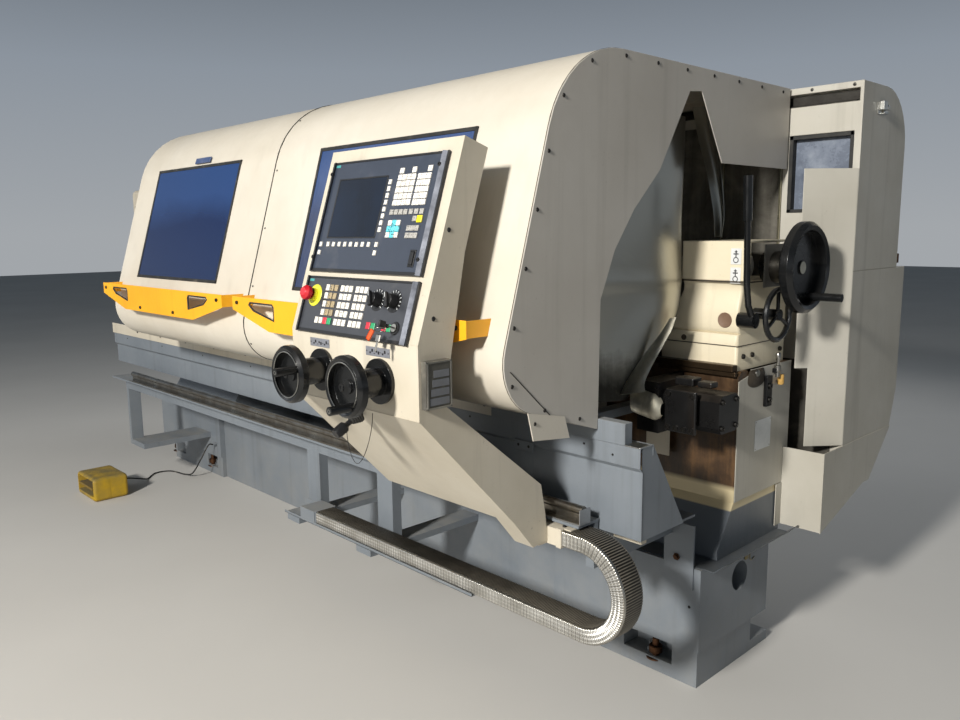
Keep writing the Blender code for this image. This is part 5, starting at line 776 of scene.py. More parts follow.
WINDOW_LOW = 1.272
WINDOW_HIGH = 0.46
WINDOW_WIDE = 0.735
GASKET = 0.011
gasket_rubber = black_rubber("window_gasket_rubber")
for name, start, body in (("left", -2.40, "hood_left"), ("right", -1.10, "hood_right")):
    front = Matrix.Translation(at(start, front_y(WINDOW_LOW), WINDOW_LOW)) @ Matrix.Rotation(-LEAN, 4, "X")
    bars = [block(f"{name}_gasket_{i}", (a, -0.0028, b), (c, 0.0002, d), 0.0012, 2) for i, (a, b, c, d) in enumerate((
        (-GASKET, -GASKET, WINDOW_WIDE + GASKET, 0.001), (-GASKET, WINDOW_HIGH - 0.001, WINDOW_WIDE + GASKET,
                                                         WINDOW_HIGH + GASKET),
        (-GASKET, -GASKET, 0.001, WINDOW_HIGH + GASKET),
        (WINDOW_WIDE - 0.001, -GASKET, WINDOW_WIDE + GASKET, WINDOW_HIGH + GASKET)))]
    mount(together(f"{name}_window_gasket", bars), gasket_rubber, body, front)
bare_blue = plastic("bare_blue_plate", "#39496b", "#44557a", rough=0.35)
front = Matrix.Translation(at(-1.985, front_y(1.742), 1.742)) @ Matrix.Rotation(-LEAN - 0.12, 4, "X")
mount(block("hood_left_bare_plate", (-0.065, -0.006, -0.012), (0.065, 0.0, 0.012), 0.001, 1), bare_blue, "hood_left",
      front)

# Hood seams and screws: the two hoods meet in a black rubber lip; dome screws hold the end wall and the front rail.
def hood_outline(inset, roof_steps=9, belly_steps=7):
    """The hood's outline from the back of its roof to its lower edge, moved in by an inset: Y, Z and the way out."""
    normal = Vector((math.cos(LEAN), -math.sin(LEAN)))
    radius = (ROOF - SHOULDER) / (1 - math.sin(LEAN))
    roof_centre = Vector((front_y(SHOULDER), SHOULDER)) + normal * radius
    belly_centre = Vector(HOOD_BELLY) + normal * BELLY_ROUND
    spots = [(Vector((0.645, ROOF - inset)), Vector((0, 1)))]
    for centre, size, first, last, steps in ((roof_centre, radius, 90, 180 - 16.3, roof_steps),
                                             (belly_centre, BELLY_ROUND, 180 - 16.3, 246, belly_steps)):
        for step in range(steps):
            angle = math.radians(first + (last - first) * step / (steps - 1))
            way = Vector((math.cos(angle), math.sin(angle)))
            spots.append((centre + (size - inset) * way, way))
    spots.append((Vector((-0.3965 + inset * math.sin(LEAN), 0.905 + inset)), spots[-1][1]))
    return spots


def along_outline(inset, gap, first):
    """Places a gap apart along the hood's outline."""
    spots = hood_outline(inset, 24, 16)
    places, left = [], first
    for (a, way_a), (b, way_b) in zip(spots, spots[1:]):
        length = (b - a).length
        while left < length:
            share = left / length
            places.append((a.lerp(b, share), way_a.lerp(way_b, share).normalized()))
            left += gap
        left -= length
    return places


TO_RIGHT = Matrix.Rotation(math.radians(90), 4, "Y")
TO_FRONT = Matrix.Rotation(math.radians(90), 4, "X")
TO_BACK = Matrix.Rotation(math.radians(-90), 4, "X")


def facing(way, spots):
    """Where copies of an upright piece go, turned to face one way, at places on the machine."""
    return [Matrix.Translation(at(*spot)) @ way for spot in spots]


dark_screw = brushed_metal("blackened_steel_screw", "#4c4a47", "#33312f", rough=0.4)
dome = turned("dome_screw", [(0, 0.0030), (0.0018, 0.0029), (0.0042, 0.0020), (0.0056, 0), (0, 0)], 14)
screws = facing(TO_RIGHT, [(-0.1, spot.x, spot.y) for spot, way in along_outline(0.016, 0.148, 0.05)])
mount(copies("end_wall_screws", dome, screws), dark_screw, "hood_right")
lip_points = hood_outline(-0.0006, 14, 10)


def grid(name, columns, rows):
    """A square net of faces, one metre wide, whose points are then laid one by one in the shape of a sheet."""
    select_none()
    bpy.ops.mesh.primitive_grid_add(x_subdivisions=columns, y_subdivisions=rows, size=1)
    bpy.context.object.name = name
    return bpy.context.object


def thicken(piece, thick):
    """Gives a shaped sheet its wall, half of it to each side."""
    wall = piece.modifiers.new("wall", "SOLIDIFY")
    wall.thickness = thick
    wall.offset = 0
    bpy.context.view_layer.objects.active = piece
    bpy.ops.object.modifier_apply(modifier="wall")
    return piece


def band(name, x_low, x_high, spots, thick):
    """A thin band lying on the hood along its outline, between two places on the length of the machine."""
    piece = grid(name, 1, len(spots) - 1)
    rows = sorted({round(vertex.co.y, 4) for vertex in piece.data.vertices})
    for vertex in piece.data.vertices:
        spot, way = spots[rows.index(round(vertex.co.y, 4))]
        vertex.co = at(x_high if vertex.co.x > 0 else x_low, spot.x, spot.y)
    return smooth(thicken(piece, thick), 40)


seam_rubber = black_rubber("hood_seam_rubber")
seam_dark = plastic("dark_joint_shadow", "#2b2722", "#3a352d", rough=0.7)
mount(band("hood_seam_lip", -1.3935, -1.3900, lip_points, 0.002), seam_rubber, "hood_right")
mount(band("end_wall_edge_joint", -0.1052, -0.1036, hood_outline(-0.0001, 14, 10), 0.0008), seam_dark, "hood_right")
pan = turned("pan_screw", [(0, 0.0018), (0.0026, 0.0018), (0.0036, 0.0006), (0.0036, 0), (0, 0)], 12)
spots = []
for spot, way in along_outline(0.0, 0.21, 0.12):
    lean = Vector((0, 0, 1)).rotation_difference(Vector((0, way.x, way.y))).to_matrix().to_4x4()
    spots.append(Matrix.Translation(at(-1.374, spot.x, spot.y)) @ lean)
mount(copies("hood_seam_screws", pan, spots), dark_screw, "hood_right")

# Lower end of the right hood: the end wall's corner sheet is lapped and screwed on, with a cream bracket under it.
corner = [(-0.741, 1.109), (-0.530, 0.920)]
lap = block("corner_lap", (-0.0012, -0.0010, 0), (0.0012, 0.0014, 0.284), 0.0004, 1)
along = Vector((0, corner[1][0] - corner[0][0], corner[1][1] - corner[0][1]))
tilt = Vector((0, 0, 1)).rotation_difference(along).to_matrix().to_4x4()
mount(lap, seam_dark, "hood_right", Matrix.Translation(at(-0.0998, *corner[0])) @ tilt)
bracket = block("end_bracket", at(-0.0998, -0.681, 0.921), at(-0.0968, -0.538, 0.984), 0.0008, 1)
for vertex in bracket.data.vertices:
    if vertex.co.z < 0.95:
        vertex.co.y += 0.02
        vertex.co.z -= (vertex.co.y + 0.66) * 0.12
    else:
        vertex.co.z += 0.008 - (vertex.co.y + 0.66) * 0.22
mount(bracket, cream, "hood_right")
tab = turned("bracket_screw", [(0, 0.003), (0.003, 0.0029), (0.0045, 0.0015), (0.0052, 0), (0, 0)], 16,
             at(-0.0968, -0.655, 0.965), (1, 0, 0))
mount(tab, dark_screw, "hood_right")

# Yellow handles: bent 3 mm sheet, powder coated, with black rubber edging round the hand holes.
yellow = enamel("yellow_powder_coat", "#f2ae20", "#e39f1a", grime="#6b4c1a", dust="#b99c62", run=0.25, dusty=0.35,
                speck=0.5, rough=0.34)
paint(("hood_left_handle", "hood_right_handle"), yellow, edge=0.0008)
EDGING = 0.0034
HOLE_TOP = 1.220
HANDLE_FACE = -0.8205


def socket_head(well, key, mouth, top, rim, head, shoulder):
    """Outline of a cap screw's head, from the floor of its well over its rim and shoulder, in radii and heights."""
    return [(0, well), (key, well), (mouth, top), (rim, top), (head, shoulder), (head, 0), (0, 0)]


for name, left, right, body in (("left", -2.57, -1.43, "hood_left"), ("right", -1.35, -0.168, "hood_right")):
    for number, (start, sign) in enumerate(((left + 0.115, 1), (right - 0.115, -1))):
        inner = start + sign * 0.16
        rim = [(start, HOLE_TOP - 0.008), (start + sign * 0.008, HOLE_TOP), (inner - sign * 0.008, HOLE_TOP),
               (inner, HOLE_TOP - 0.008), (inner, HOLE_TOP - 0.052), (start + sign * 0.03, HOLE_TOP - 0.026)]
        edging = wire(f"{name}_hand_hole_edging_{number}", [at(x, HANDLE_FACE, z) for x, z in rim], EDGING, 3,
                      gasket_rubber, ring=True)
        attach(edging, body)
    middle = (left + right) / 2
    bolt_spots = ((left + 0.036, 1.216), (right - 0.036, 1.216), (middle - 0.16, 1.148), (middle + 0.16, 1.148))
    bolt_head = socket_head(0.0040, 0.0022, 0.0026, 0.0052, 0.0052, 0.0062, 0.0038)
    bolts = [turned(f"{name}_handle_bolt_{i}", bolt_head, 18, at(x, -0.8222, z), (0, -1, 0))
             for i, (x, z) in enumerate(bolt_spots)]
    mount(together(f"{name}_handle_bolts", bolts), dark_screw, body)

# Energy chain: a steel ribbon-tube cable guide, 90 x 50 mm, of narrow interlocked ribs with perforated side bands.
# It lies in the trough, turns once and ends on the saddle's arm; the ribs are under 7 mm apart.
CHAIN_BEND = Vector((-0.078, 0.475))
CHAIN_TURN = 0.130
CHAIN_START = -1.400
CHAIN_STOP = -0.1425
RIB = 0.0066
chain_path = []
lower = CHAIN_BEND.x - CHAIN_START
half_turn = math.pi * CHAIN_TURN
upper = CHAIN_BEND.x - CHAIN_STOP
whole = lower + half_turn + upper
rib_count = int(whole / RIB)
rib_step = whole / rib_count
RIB_SHAPE = ((0.0, 0.0), (0.28, 1.0), (0.72, 1.0))
for rib in range(rib_count):
    for share, height in RIB_SHAPE:
        run = (rib + share) * rib_step
        if run < lower:
            spot, out = Vector((CHAIN_START + run, CHAIN_BEND.y - CHAIN_TURN)), Vector((0, -1))
        elif run < lower + half_turn:
            angle = -math.pi / 2 + (run - lower) / CHAIN_TURN
            out = Vector((math.cos(angle), math.sin(angle)))
            spot = CHAIN_BEND + out * CHAIN_TURN
        else:
            spot = Vector((CHAIN_BEND.x - (run - lower - half_turn), CHAIN_BEND.y + CHAIN_TURN))
            out = Vector((0, 1))
        chain_path.append((spot, out, height, run))
# Section of the guide: across the machine, out of the bend, share of the rib's height, and the finish of the side.
CHAIN_MIDDLE = -0.455
CHAIN_SECTION = ((-0.0425, -0.0165, 1, 0), (-0.0425, 0.0, 1, 0), (-0.0425, 0.0165, 1, 1), (-0.0430, 0.0205, 0, 1),
                 (-0.0395, 0.0225, 0, 1), (-0.0355, 0.0225, 1, 2), (0.0, 0.0225, 1, 2), (0.0355, 0.0225, 1, 1),
                 (0.0395, 0.0225, 0, 1), (0.0430, 0.0205, 0, 1), (0.0425, 0.0165, 1, 0), (0.0425, 0.0, 1, 0),
                 (0.0425, -0.0165, 1, 1), (0.0430, -0.0205, 0, 1), (0.0395, -0.0225, 0, 1), (0.0355, -0.0225, 1, 2),
                 (0.0, -0.0225, 1, 2), (-0.0355, -0.0225, 1, 1), (-0.0395, -0.0225, 0, 1), (-0.0430, -0.0205, 0, 1))
chain_edge = brushed_metal("polished_edge_strip", "#d3d0c8", "#a9a59c", rough=0.26)
perforated, tree, place = new_finish("perforated_steel_band")
run = add_node(tree, "UVMap", uv_map="along_and_up")
split = add_node(tree, "SeparateXYZ", {"Vector": run})


def wave(tree, value, period, middle):
    """A triangle wave from 0 at a hole's middle to 1 between holes."""
    moved = add_node(tree, "Math", {0: value, 1: 1 / period, 2: middle}, operation="MULTIPLY_ADD")
    return add_node(tree, "Math", {0: moved, 1: 1.0}, operation="PINGPONG")


across = wave(tree, split.outputs["X"], RIB / 2, 0.5)
up = wave(tree, split.outputs["Y"], 0.0055, 0.0)
squared = [add_node(tree, "Math", {0: part, 1: 2.0}, operation="POWER") for part in (across, up)]
far = add_node(tree, "Math", {0: squared[0], 1: squared[1]}, operation="ADD")
wide = add_node(tree, "TexNoise", {"Vector": place, "Scale": 12, "Detail": 5})
hole = add_node(tree, "MapRange", {"Value": far, "From Min": 0.34, "From Max": 0.16})
metal = add_node(tree, "ValToRGB", {"Fac": wide}, [(0.35, "#d4d2cc"), (0.68, "#a9a69e")])
dark = add_node(tree, "MixRGB", {"Fac": hole, "Color1": metal, "Color2": linear("#6b675f")})
shine = add_node(tree, "MapRange", {"Value": hole, "To Min": 0.75, "To Max": 0.0})
press = add_node(tree, "Bump", {"Height": far, "Strength": 0.6, "Distance": 0.0012})
# The band is darkened at each rib's fold: painted shade between the ribs.
rib_fold_shade = add_node(tree, "MapRange", {"Value": wave(tree, split.outputs["X"], RIB, 0.0), "From Min": 0.55, "To Max": 0.55})
dark = add_node(tree, "MixRGB", {"Fac": rib_fold_shade, "Color1": dark, "Color2": linear("#4a4740")})
close_finish(tree, {"Base Color": dark, "Metallic": shine, "Roughness": 0.42, "Normal": press})
# The ribs run from dark at each fold to light at their middle: painted shade and light on the ribs, over random dirt.
ribbed, tree, place = new_finish("dirty_steel_ribs_painted_shade")
run = add_node(tree, "UVMap", uv_map="along_and_up")
along = wave(tree, add_node(tree, "SeparateXYZ", {"Vector": run}).outputs["X"], RIB / 2, 0.0)
wide = add_node(tree, "TexNoise", {"Vector": place, "Scale": 15, "Detail": 6, "Roughness": 0.7})
mixed = add_node(tree, "Math", {0: wide, 1: 0.55, 2: -0.28}, operation="MULTIPLY_ADD")
mixed = add_node(tree, "Math", {0: along, 1: mixed}, operation="ADD")
tone = add_node(tree, "ValToRGB", {"Fac": mixed}, [(0.25, "#171510"), (0.55, "#47423a"), (0.95, "#857e71")])
close_finish(tree, {"Base Color": tone, "Metallic": 0.35, "Roughness": 0.5})
around = len(CHAIN_SECTION)
guide = grid("cable_guide", around, len(chain_path) - 1)
RIB_HIGH = 0.0020
columns = around + 1
for number, vertex in enumerate(guide.data.vertices):
    row, column = divmod(number, columns)
    spot, out, height, run = chain_path[row]
    across, outward, share, _ = CHAIN_SECTION[column % around]
    swell = 1 + RIB_HIGH * height * share / 0.0235
    flat = spot + out * outward * swell
    vertex.co = at(flat.x, CHAIN_MIDDLE + across * (1 + RIB_HIGH * height * share / 0.0435), flat.y)
for finish in (perforated, chain_edge, ribbed):
    guide.data.materials.append(finish)
paper = guide.data.uv_layers.new(name="along_and_up")
for face in guide.data.polygons:
    numbers = [divmod(index, columns) for index in face.vertices]
    column = min(number[1] for number in numbers)
    face.material_index = CHAIN_SECTION[column % around][3]
    for loop, (row, column) in zip(face.loop_indices, numbers):
        paper.data[loop].uv = (chain_path[row][3], CHAIN_SECTION[column % around][1])
close_up(guide)
smooth(guide, 50)
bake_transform(guide)
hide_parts("energy_chain")
clamp_plates = [block("guide_end_low", at(-1.412, -0.5015, 0.3195), at(-1.396, -0.4085, 0.3705), 0.002, 2)]
mount(together("guide_fixed_end", clamp_plates), blue_grey, "machine")
carrier = [block("guide_carrier", at(-0.157, -0.5035, 0.5775), at(-0.1385, -0.4065, 0.6330), 0.0015, 2),
           block("guide_strap", at(-0.1385, -0.4900, 0.6290), at(-0.1150, -0.4200, 0.6325), 0.0008, 1)]
mount(together("guide_carrier", carrier), worn_cream, "saddle")
for number, y in enumerate((-0.478, -0.432)):
    mount(turned(f"carrier_screw_{number}", socket_head(0.0034, 0.0024, 0.0030, 0.0042, 0.0052, 0.0056, 0.0030), 16,
                 at(-0.147, y, 0.6328)), dark_screw, "saddle")

# Guide rail and its beam: a ground steel shaft on an aluminium rail under the right cover, oily and a little rusty.
rail_steel = brushed_metal("oily_ground_steel", "#a3a19b", "#70675b", rough=0.3, lines=(3, 260, 260))
paint(("guide_rail",), rail_steel, edge=0.0008)
dull_aluminium = brushed_metal("dull_milled_aluminium", "#b8babc", "#9a9c9e", rough=0.44, lines=(3, 120, 120))
end_plate = block("rail_end_plate", at(-0.262, -0.4745, 0.6452), at(-0.097, -0.4255, 0.6490), 0.001, 1)
mount(end_plate, dull_aluminium, "machine")
end_face = block("rail_end_face", at(-0.0995, -0.4735, 0.6455), at(-0.0965, -0.4265, 0.6900), 0.0008, 1)
mount(end_face, dull_aluminium, "machine")

# Chain trough: folded blue-grey sheet under the cable guide, low in front, with the guide's fixed block at its far
# end.
trough = [block("trough_floor", at(-1.620, -0.507, 0.3172), at(-0.500, -0.403, 0.3195), 0.0006, 1),
          block("trough_front", at(-1.620, -0.507, 0.3172), at(-0.500, -0.5045, 0.3270), 0.0006, 1),
          block("trough_back", at(-1.620, -0.4055, 0.3172), at(-0.500, -0.403, 0.3520), 0.0006, 1),
          block("trough_block", at(-1.500, -0.5065, 0.3190), at(-1.400, -0.4035, 0.3700), 0.002, 2)]
new_trough = mount(together("guide_trough", trough), blue_grey, "machine")
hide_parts("chain_trough")

# Front cover right: blue-grey sheet with a folded lip. Swarf trays have rubbed its top edge to bare metal.
# Small screws hold the lip; a two-hole bracket, a cream buffer block and a rusty pivot bolt sit round it.
bare_steel = brushed_metal("rubbed_bare_steel", "#b5b5b2", "#7b7a77", rough=0.34, lines=(60, 60, 3), scratch=0.3)
rubbed = block("cover_rubbed_edge", at(-0.196, -0.3935, 0.8735), at(0.0385, -0.345, 0.8768), 0.0012, 2)
mount(rubbed, bare_steel, "machine")
small = turned("lip_screw", [(0, 0.0022), (0.0022, 0.002), (0.0034, 0.0006), (0.0034, 0), (0, 0)], 12)
LIP_SCREWS = ((-0.150, 0.855), (-0.050, 0.842), (-0.318, 0.842), (-0.62, 0.858), (-1.10, 0.858), (-1.58, 0.858),
              (-2.06, 0.858), (-2.54, 0.858), (-3.02, 0.858), (-3.50, 0.858))
mount(copies("lip_screws", small, facing(TO_FRONT, [(x, -0.3922, z) for x, z in LIP_SCREWS])), dark_screw, "machine")
rail_screw = turned("rail_screw", socket_head(0.0026, 0.0024, 0.0030, 0.0036, 0.0052, 0.0058, 0.0026), 14)
spots = [(-0.24 - 0.31 * number, -0.3932, 0.908) for number in range(11)]
mount(copies("hood_rail_screws", rail_screw, facing(TO_FRONT, spots)), dark_screw, "machine")
holed = block("two_hole_bracket", at(-0.418, -0.3965, 0.792), at(-0.340, -0.3925, 0.822), 0.001, 1)
mount(holed, blue_grey, "machine")
deep = plastic("dark_hole", "#0f0f0f", "#171615", rough=0.8)
# The bracket's holes are near-black discs on it: painted shade in the holes.
dots = [turned(f"bracket_hole_{i}", [(0, 0.0004), (0.0042, 0.0004), (0.0046, 0), (0, 0)], 18,
               at(x, -0.3965, 0.807), (0, -1, 0)) for i, x in enumerate((-0.401, -0.359))]
mount(together("bracket_holes", dots), deep, "machine")
buffer = block("cream_buffer", at(-0.118, -0.312, 0.571), at(-0.006, -0.286, 0.606), 0.002, 2)
mount(buffer, worn_cream, "machine")
stay = block("buffer_stay", at(-0.112, -0.290, 0.575), at(-0.020, -0.010, 0.583), 0.001, 1)
mount(stay, blue_grey, "machine")
rusty = brushed_metal("rusty_steel", "#6e4e38", "#3f2f26", rough=0.55)
bolt = turned("rusty_bolt", [(0, 0.0085), (0.0070, 0.0085), (0.0082, 0.0070), (0.0082, 0.0012), (0.0125, 0.0012),
                             (0.0125, 0), (0, 0)], 6, at(-0.083, -0.0085, 0.426), (0, -1, 0))
mount(bolt, rusty, "machine")

# Pedestals: welded blue-grey boxes on plinths. Each foot has a rusty levelling screw in its pocket, and a loop of
# brass wire hangs in the lifting hole of the end face.
level = turned("levelling_screw", [(0, 0.068), (0.0100, 0.068), (0.0115, 0.066), (0.0115, 0.044), (0.0200, 0.044),
                                   (0.0225, 0.041), (0.0225, 0.022), (0.0200, 0.019), (0.0120, 0.019), (0.0120, 0.004),
                                   (0.0300, 0.004), (0.0310, 0), (0, 0)], 18)
feet = [at(x, 0.028, 0.036) for x in (-0.175, -3.90, -3.40)]
mount(copies("levelling_screws", level, feet), rusty, "machine")
wire_metal = brushed_metal("dull_brass_wire", "#8e8361", "#5d5540", rough=0.4)
select_none()
bpy.ops.mesh.primitive_torus_add(major_segments=36, minor_segments=8, major_radius=0.034, minor_radius=0.0016,
                                 rotation=(0, math.radians(90), 0))
bpy.ops.object.transform_apply(location=True, rotation=True, scale=True)
loop = smooth(bpy.context.object, 60)
loop.name = "wire_loop"
loop.data.transform(Matrix.Translation(at(0.0040, 0.322, 0.372)) @ Matrix.Rotation(0.25, 4, "Z")
                    @ Matrix.Diagonal((1, 1.25, 0.75, 1)))
mount(loop, wire_metal, "machine")
tie = block("wire_tie", at(-0.001, 0.272, 0.356), at(0.006, 0.292, 0.392), 0.003, 2)
mount(tie, wire_metal, "machine")
peg = turned("pedestal_hole_plug", [(0, 0.0016), (0.004, 0.0016), (0.0048, 0), (0, 0)], 16, at(-0.037, 0.0, 0.269),
             (0, -1, 0))
mount(peg, deep, "machine")

# Hood rail's end cap: a folded blue-grey sheet over the last half metre of the cream rail, under the right hood.
mount(block("hood_rail_end_cap", at(-0.520, -0.3946, 0.8742), at(-0.0085, -0.3620, 0.9346), 0.001, 1), blue_grey,
      "machine")

# Tailstock: grey-iron casting in ivory enamel, waisted in front, its base parted from the body by a split line. It
# carries two small plates with plain marks, two oil plugs, cap screws and the wheel's bearing plate and collar.
CAST_BACK = 0.5200
CAST_ROUND = 0.010
# The casting's outline at each level: its height, its left side and its front. Its right side and back are straight.
CAST_LEVELS = ((1.0003, -0.3000, 0.2000), (1.0770, -0.3000, 0.2000), (1.0780, -0.2990, 0.2010),
               (1.0806, -0.2990, 0.2010), (1.0816, -0.3000, 0.2000), (1.1120, -0.3000, 0.2000),
               (1.1160, -0.2970, 0.2030), (1.1175, -0.2660, 0.2120), (1.1220, -0.2620, 0.2060),
               (1.1350, -0.2580, 0.2010), (1.1500, -0.2550, 0.2001), (1.1850, -0.2500, 0.2001),
               (1.2050, -0.2440, 0.2030), (1.2300, -0.2350, 0.2110), (1.2500, -0.2300, 0.2160),
               (1.2680, -0.2285, 0.2150), (1.2780, -0.2270, 0.2090), (1.2846, -0.2262, 0.2050))
CAST_RIGHT = -0.0160
CORNER_STEPS = 4
around = 4 * (CORNER_STEPS + 1)
casting = grid("waisted_tailstock_casting", around, len(CAST_LEVELS) - 1)
for number, vertex in enumerate(casting.data.vertices):
    level, place_round = divmod(number, around + 1)
    z, left, front = CAST_LEVELS[level]
    corner, step = divmod(place_round % around, CORNER_STEPS + 1)
    angle = math.radians(180 + 90 * corner + 90 * step / CORNER_STEPS)
    middle = ((left, CAST_RIGHT)[corner in (1, 2)], (front, CAST_BACK)[corner in (2, 3)])
    inward = ((1, -1)[corner in (1, 2)], (1, -1)[corner in (2, 3)])
    vertex.co = at(middle[0] + CAST_ROUND * (inward[0] + math.cos(angle)),
                   middle[1] + CAST_ROUND * (inward[1] + math.sin(angle)), z)
close_up(casting, fill=True)
mount(smooth(casting, 40), ivory, "tailstock")
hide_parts("tailstock_body")
end_dark = plastic("dark_iron_and_painted_shade", "#4a4033", "#2f2820", rough=0.55, worn=0.2)
pictogram = plastic("white_anodised_plate", "#dfe0de", "#cfd1cf", rough=0.4)
ink = plastic("black_plate_ink", "#23252a", "#2d2f35", rough=0.5)
for number, z in enumerate((1.362, 1.303)):
    mount(block(f"pictogram_plate_{number}", at(-0.050, 0.1985, z - 0.025), at(-0.014, 0.2001, z + 0.025), 0.0008, 1),
          pictogram, "tailstock")
    marks = [turned(f"picture_ring_{number}", [(0.0066, 0), (0.0066, 0.0006), (0.0092, 0.0006), (0.0092, 0)], 28,
                    at(-0.032, 0.1985, z - 0.011), (0, -1, 0)),
             block(f"picture_bar_{number}", at(-0.0335, 0.1979, z - 0.003), at(-0.0305, 0.1986, z + 0.019)),
             block(f"picture_head_{number}", at(-0.0405, 0.1979, z + 0.006), at(-0.0235, 0.1986, z + 0.0095)),
             block(f"picture_step_{number}", at(-0.0365, 0.1979, z + 0.013), at(-0.0275, 0.1986, z + 0.016))]
    mount(together(f"pictogram_{number}", marks), ink, "tailstock")
# The gap under the cover's edge, along its front and end, is a dark strip: a painted shadow under the cover.
shadow_line = block("cover_gap", at(-0.2255, 0.1978, 1.2805), at(0.0135, 0.2003, 1.2855))
mount(shadow_line, end_dark, "tailstock")
cut_line = block("cover_gap_end", at(0.0128, 0.2003, 1.2805), at(0.0152, 0.5150, 1.2850))
mount(cut_line, end_dark, "tailstock")
split = [block("body_split_front", at(-0.3005, 0.1988, 1.0782), at(-0.0150, 0.2005, 1.0806)),
         block("body_split_end", at(-0.0170, 0.2000, 1.0782), at(-0.0148, 0.5190, 1.0806))]
mount(together("body_split_line", split), end_dark, "tailstock")
felt_brown = plastic("brown_oil_plug", "#7d6350", "#6a5343", rough=0.6)
plug = turned("oil_plug", socket_head(0.0010, 0.0190, 0.0215, 0.0022, 0.0235, 0.0245, 0.0008), 40,
              at(-0.063, 0.1997, 1.161), (0, -1, 0))
mount(plug, felt_brown, "tailstock")
small_plug = turned("small_plug", [(0, 0.0006), (0.0070, 0.0006), (0.0076, 0.0016), (0.0094, 0.0014), (0.0098, 0),
                                   (0, 0)], 24, at(-0.210, 0.1997, 1.094), (0, -1, 0))
mount(small_plug, end_dark, "tailstock")
cap_screw = turned("cap_screw", socket_head(0.0040, 0.0036, 0.0044, 0.0068, 0.0072, 0.0080, 0.0056), 20)
spots = [(-0.0155, y, 1.045) for y in (0.235, 0.292, 0.480)]
mount(copies("tailstock_cap_screws", cap_screw, facing(TO_RIGHT, spots)), dark_screw, "tailstock")
grey_iron = enamel("grey_machined_iron", "#77756f", "#63615b", run=0.4, dusty=0.3, speck=0.6, rough=0.36)
collar = turned("wheel_graduated_collar", [(0.0470, 0), (0.0505, 0.001), (0.0505, 0.0315), (0.0492, 0.0325),
                                           (0.0492, 0.0420), (0.0470, 0.0420)], 56, at(0.0160, 0.36, 1.325), (1, 0, 0))
mount(collar, brushed_metal("dark_turned_neck", "#6f6c65", "#45423d", rough=0.3, lines=(260, 3, 3)), "tailstock")
plate = block("wheel_bearing_plate", at(0.0153, 0.286, 1.262), at(0.0200, 0.434, 1.398), 0.0015, 2)
mount(plate, grey_iron, "tailstock")
hub_disc = turned("wheel_hub_disc", [(0, 0.0012), (0.0185, 0.0012), (0.0200, 0), (0, 0)], 36, at(0.1088, 0.36, 1.325),
                  (1, 0, 0))
mount(hub_disc, plastic("pale_hub_cap", "#b9b7a8", "#a5a394", rough=0.4), "tailstock_wheel")

# Bed end: cream cover plate screwed over the bed's end. A black clamp bar with two cap screws, a steel and plastic
# oil fitting and a bare rating plate are fixed on it, and its top has an arch cut for the lead screw.
black_steel = brushed_metal("black_oxide_steel", "#3a3a3b", "#262626", rough=0.38)
bar = block("clamp_bar", at(0.0002, 0.352, 0.866), at(0.0135, 0.388, 0.968), 0.002, 2)
mount(bar, black_steel, "machine")
bar_screw = turned("bar_screw", socket_head(0.0025, 0.0045, 0.0055, 0.0060, 0.0095, 0.0105, 0.0048), 24)
spots = [(0.0133, 0.370, z) for z in (0.888, 0.935)]
mount(copies("clamp_bar_screws", bar_screw, facing(TO_RIGHT, spots)), dark_screw, "machine")
# The arch cut is a dark arch laid on the plate: painted shade in the cut.
ARCH_HEIGHT = 0.962
ARCH_TOP = 0.9985
arch = turned("lead_screw_arch", [(0, 0.0012), (0.0560, 0.0012), (0.0580, 0), (0, 0)], 40, at(0, 0.302, ARCH_HEIGHT),
              (1, 0, 0))
for vertex in arch.data.vertices:
    vertex.co.z = min(vertex.co.z, ARCH_TOP)
    vertex.co.z = ARCH_HEIGHT + (vertex.co.z - ARCH_HEIGHT) * (1 if vertex.co.z > ARCH_HEIGHT else 0.42)
mount(arch, end_dark, "machine")
screw_end = turned("lead_screw_end", [(0, 0.006), (0.010, 0.006), (0.012, 0.004), (0.012, 0), (0, 0)], 28,
                   at(0.0008, 0.302, 0.985), (1, 0, 0))
mount(screw_end, turned_steel, "machine")
mount(block("bare_rating_plate", at(0.0001, 0.306, 0.722), at(0.0012, 0.412, 0.824), 0.0003, 1), pictogram, "machine")
for number, (y, z) in enumerate(((0.312, 0.728), (0.312, 0.818), (0.406, 0.728), (0.406, 0.818))):
    mount(turned(f"rating_rivet_{number}", [(0, 0.0013), (0.0014, 0.0011), (0.0022, 0), (0, 0)], 12,
                 at(0.0011, y, z), (1, 0, 0)), nickel, "machine")
fitting = turned("oil_fitting", [(0, 0.082), (0.006, 0.082), (0.0085, 0.078), (0.0085, 0.060), (0.0060, 0.056),
                                 (0.0060, 0.040), (0.0110, 0.038), (0.0110, 0.020), (0.0070, 0.017), (0.0070, 0.0),
                                 (0, 0)], 24, at(0.013, 0.420, 0.958))
mount(fitting, turned_steel, "machine")
amber = plastic("amber_level_glass", "#c9a25c", "#b48b47", rough=0.2)
mount(turned("oil_level_glass", [(0, 0.034), (0.0098, 0.034), (0.0110, 0.031), (0.0110, 0.003), (0.0098, 0), (0, 0)],
             24, at(0.013, 0.445, 0.930)), amber, "machine")
mount(block("fitting_clip", at(-0.001, 0.408, 0.972), at(0.015, 0.434, 0.988), 0.002, 2), black_steel, "machine")
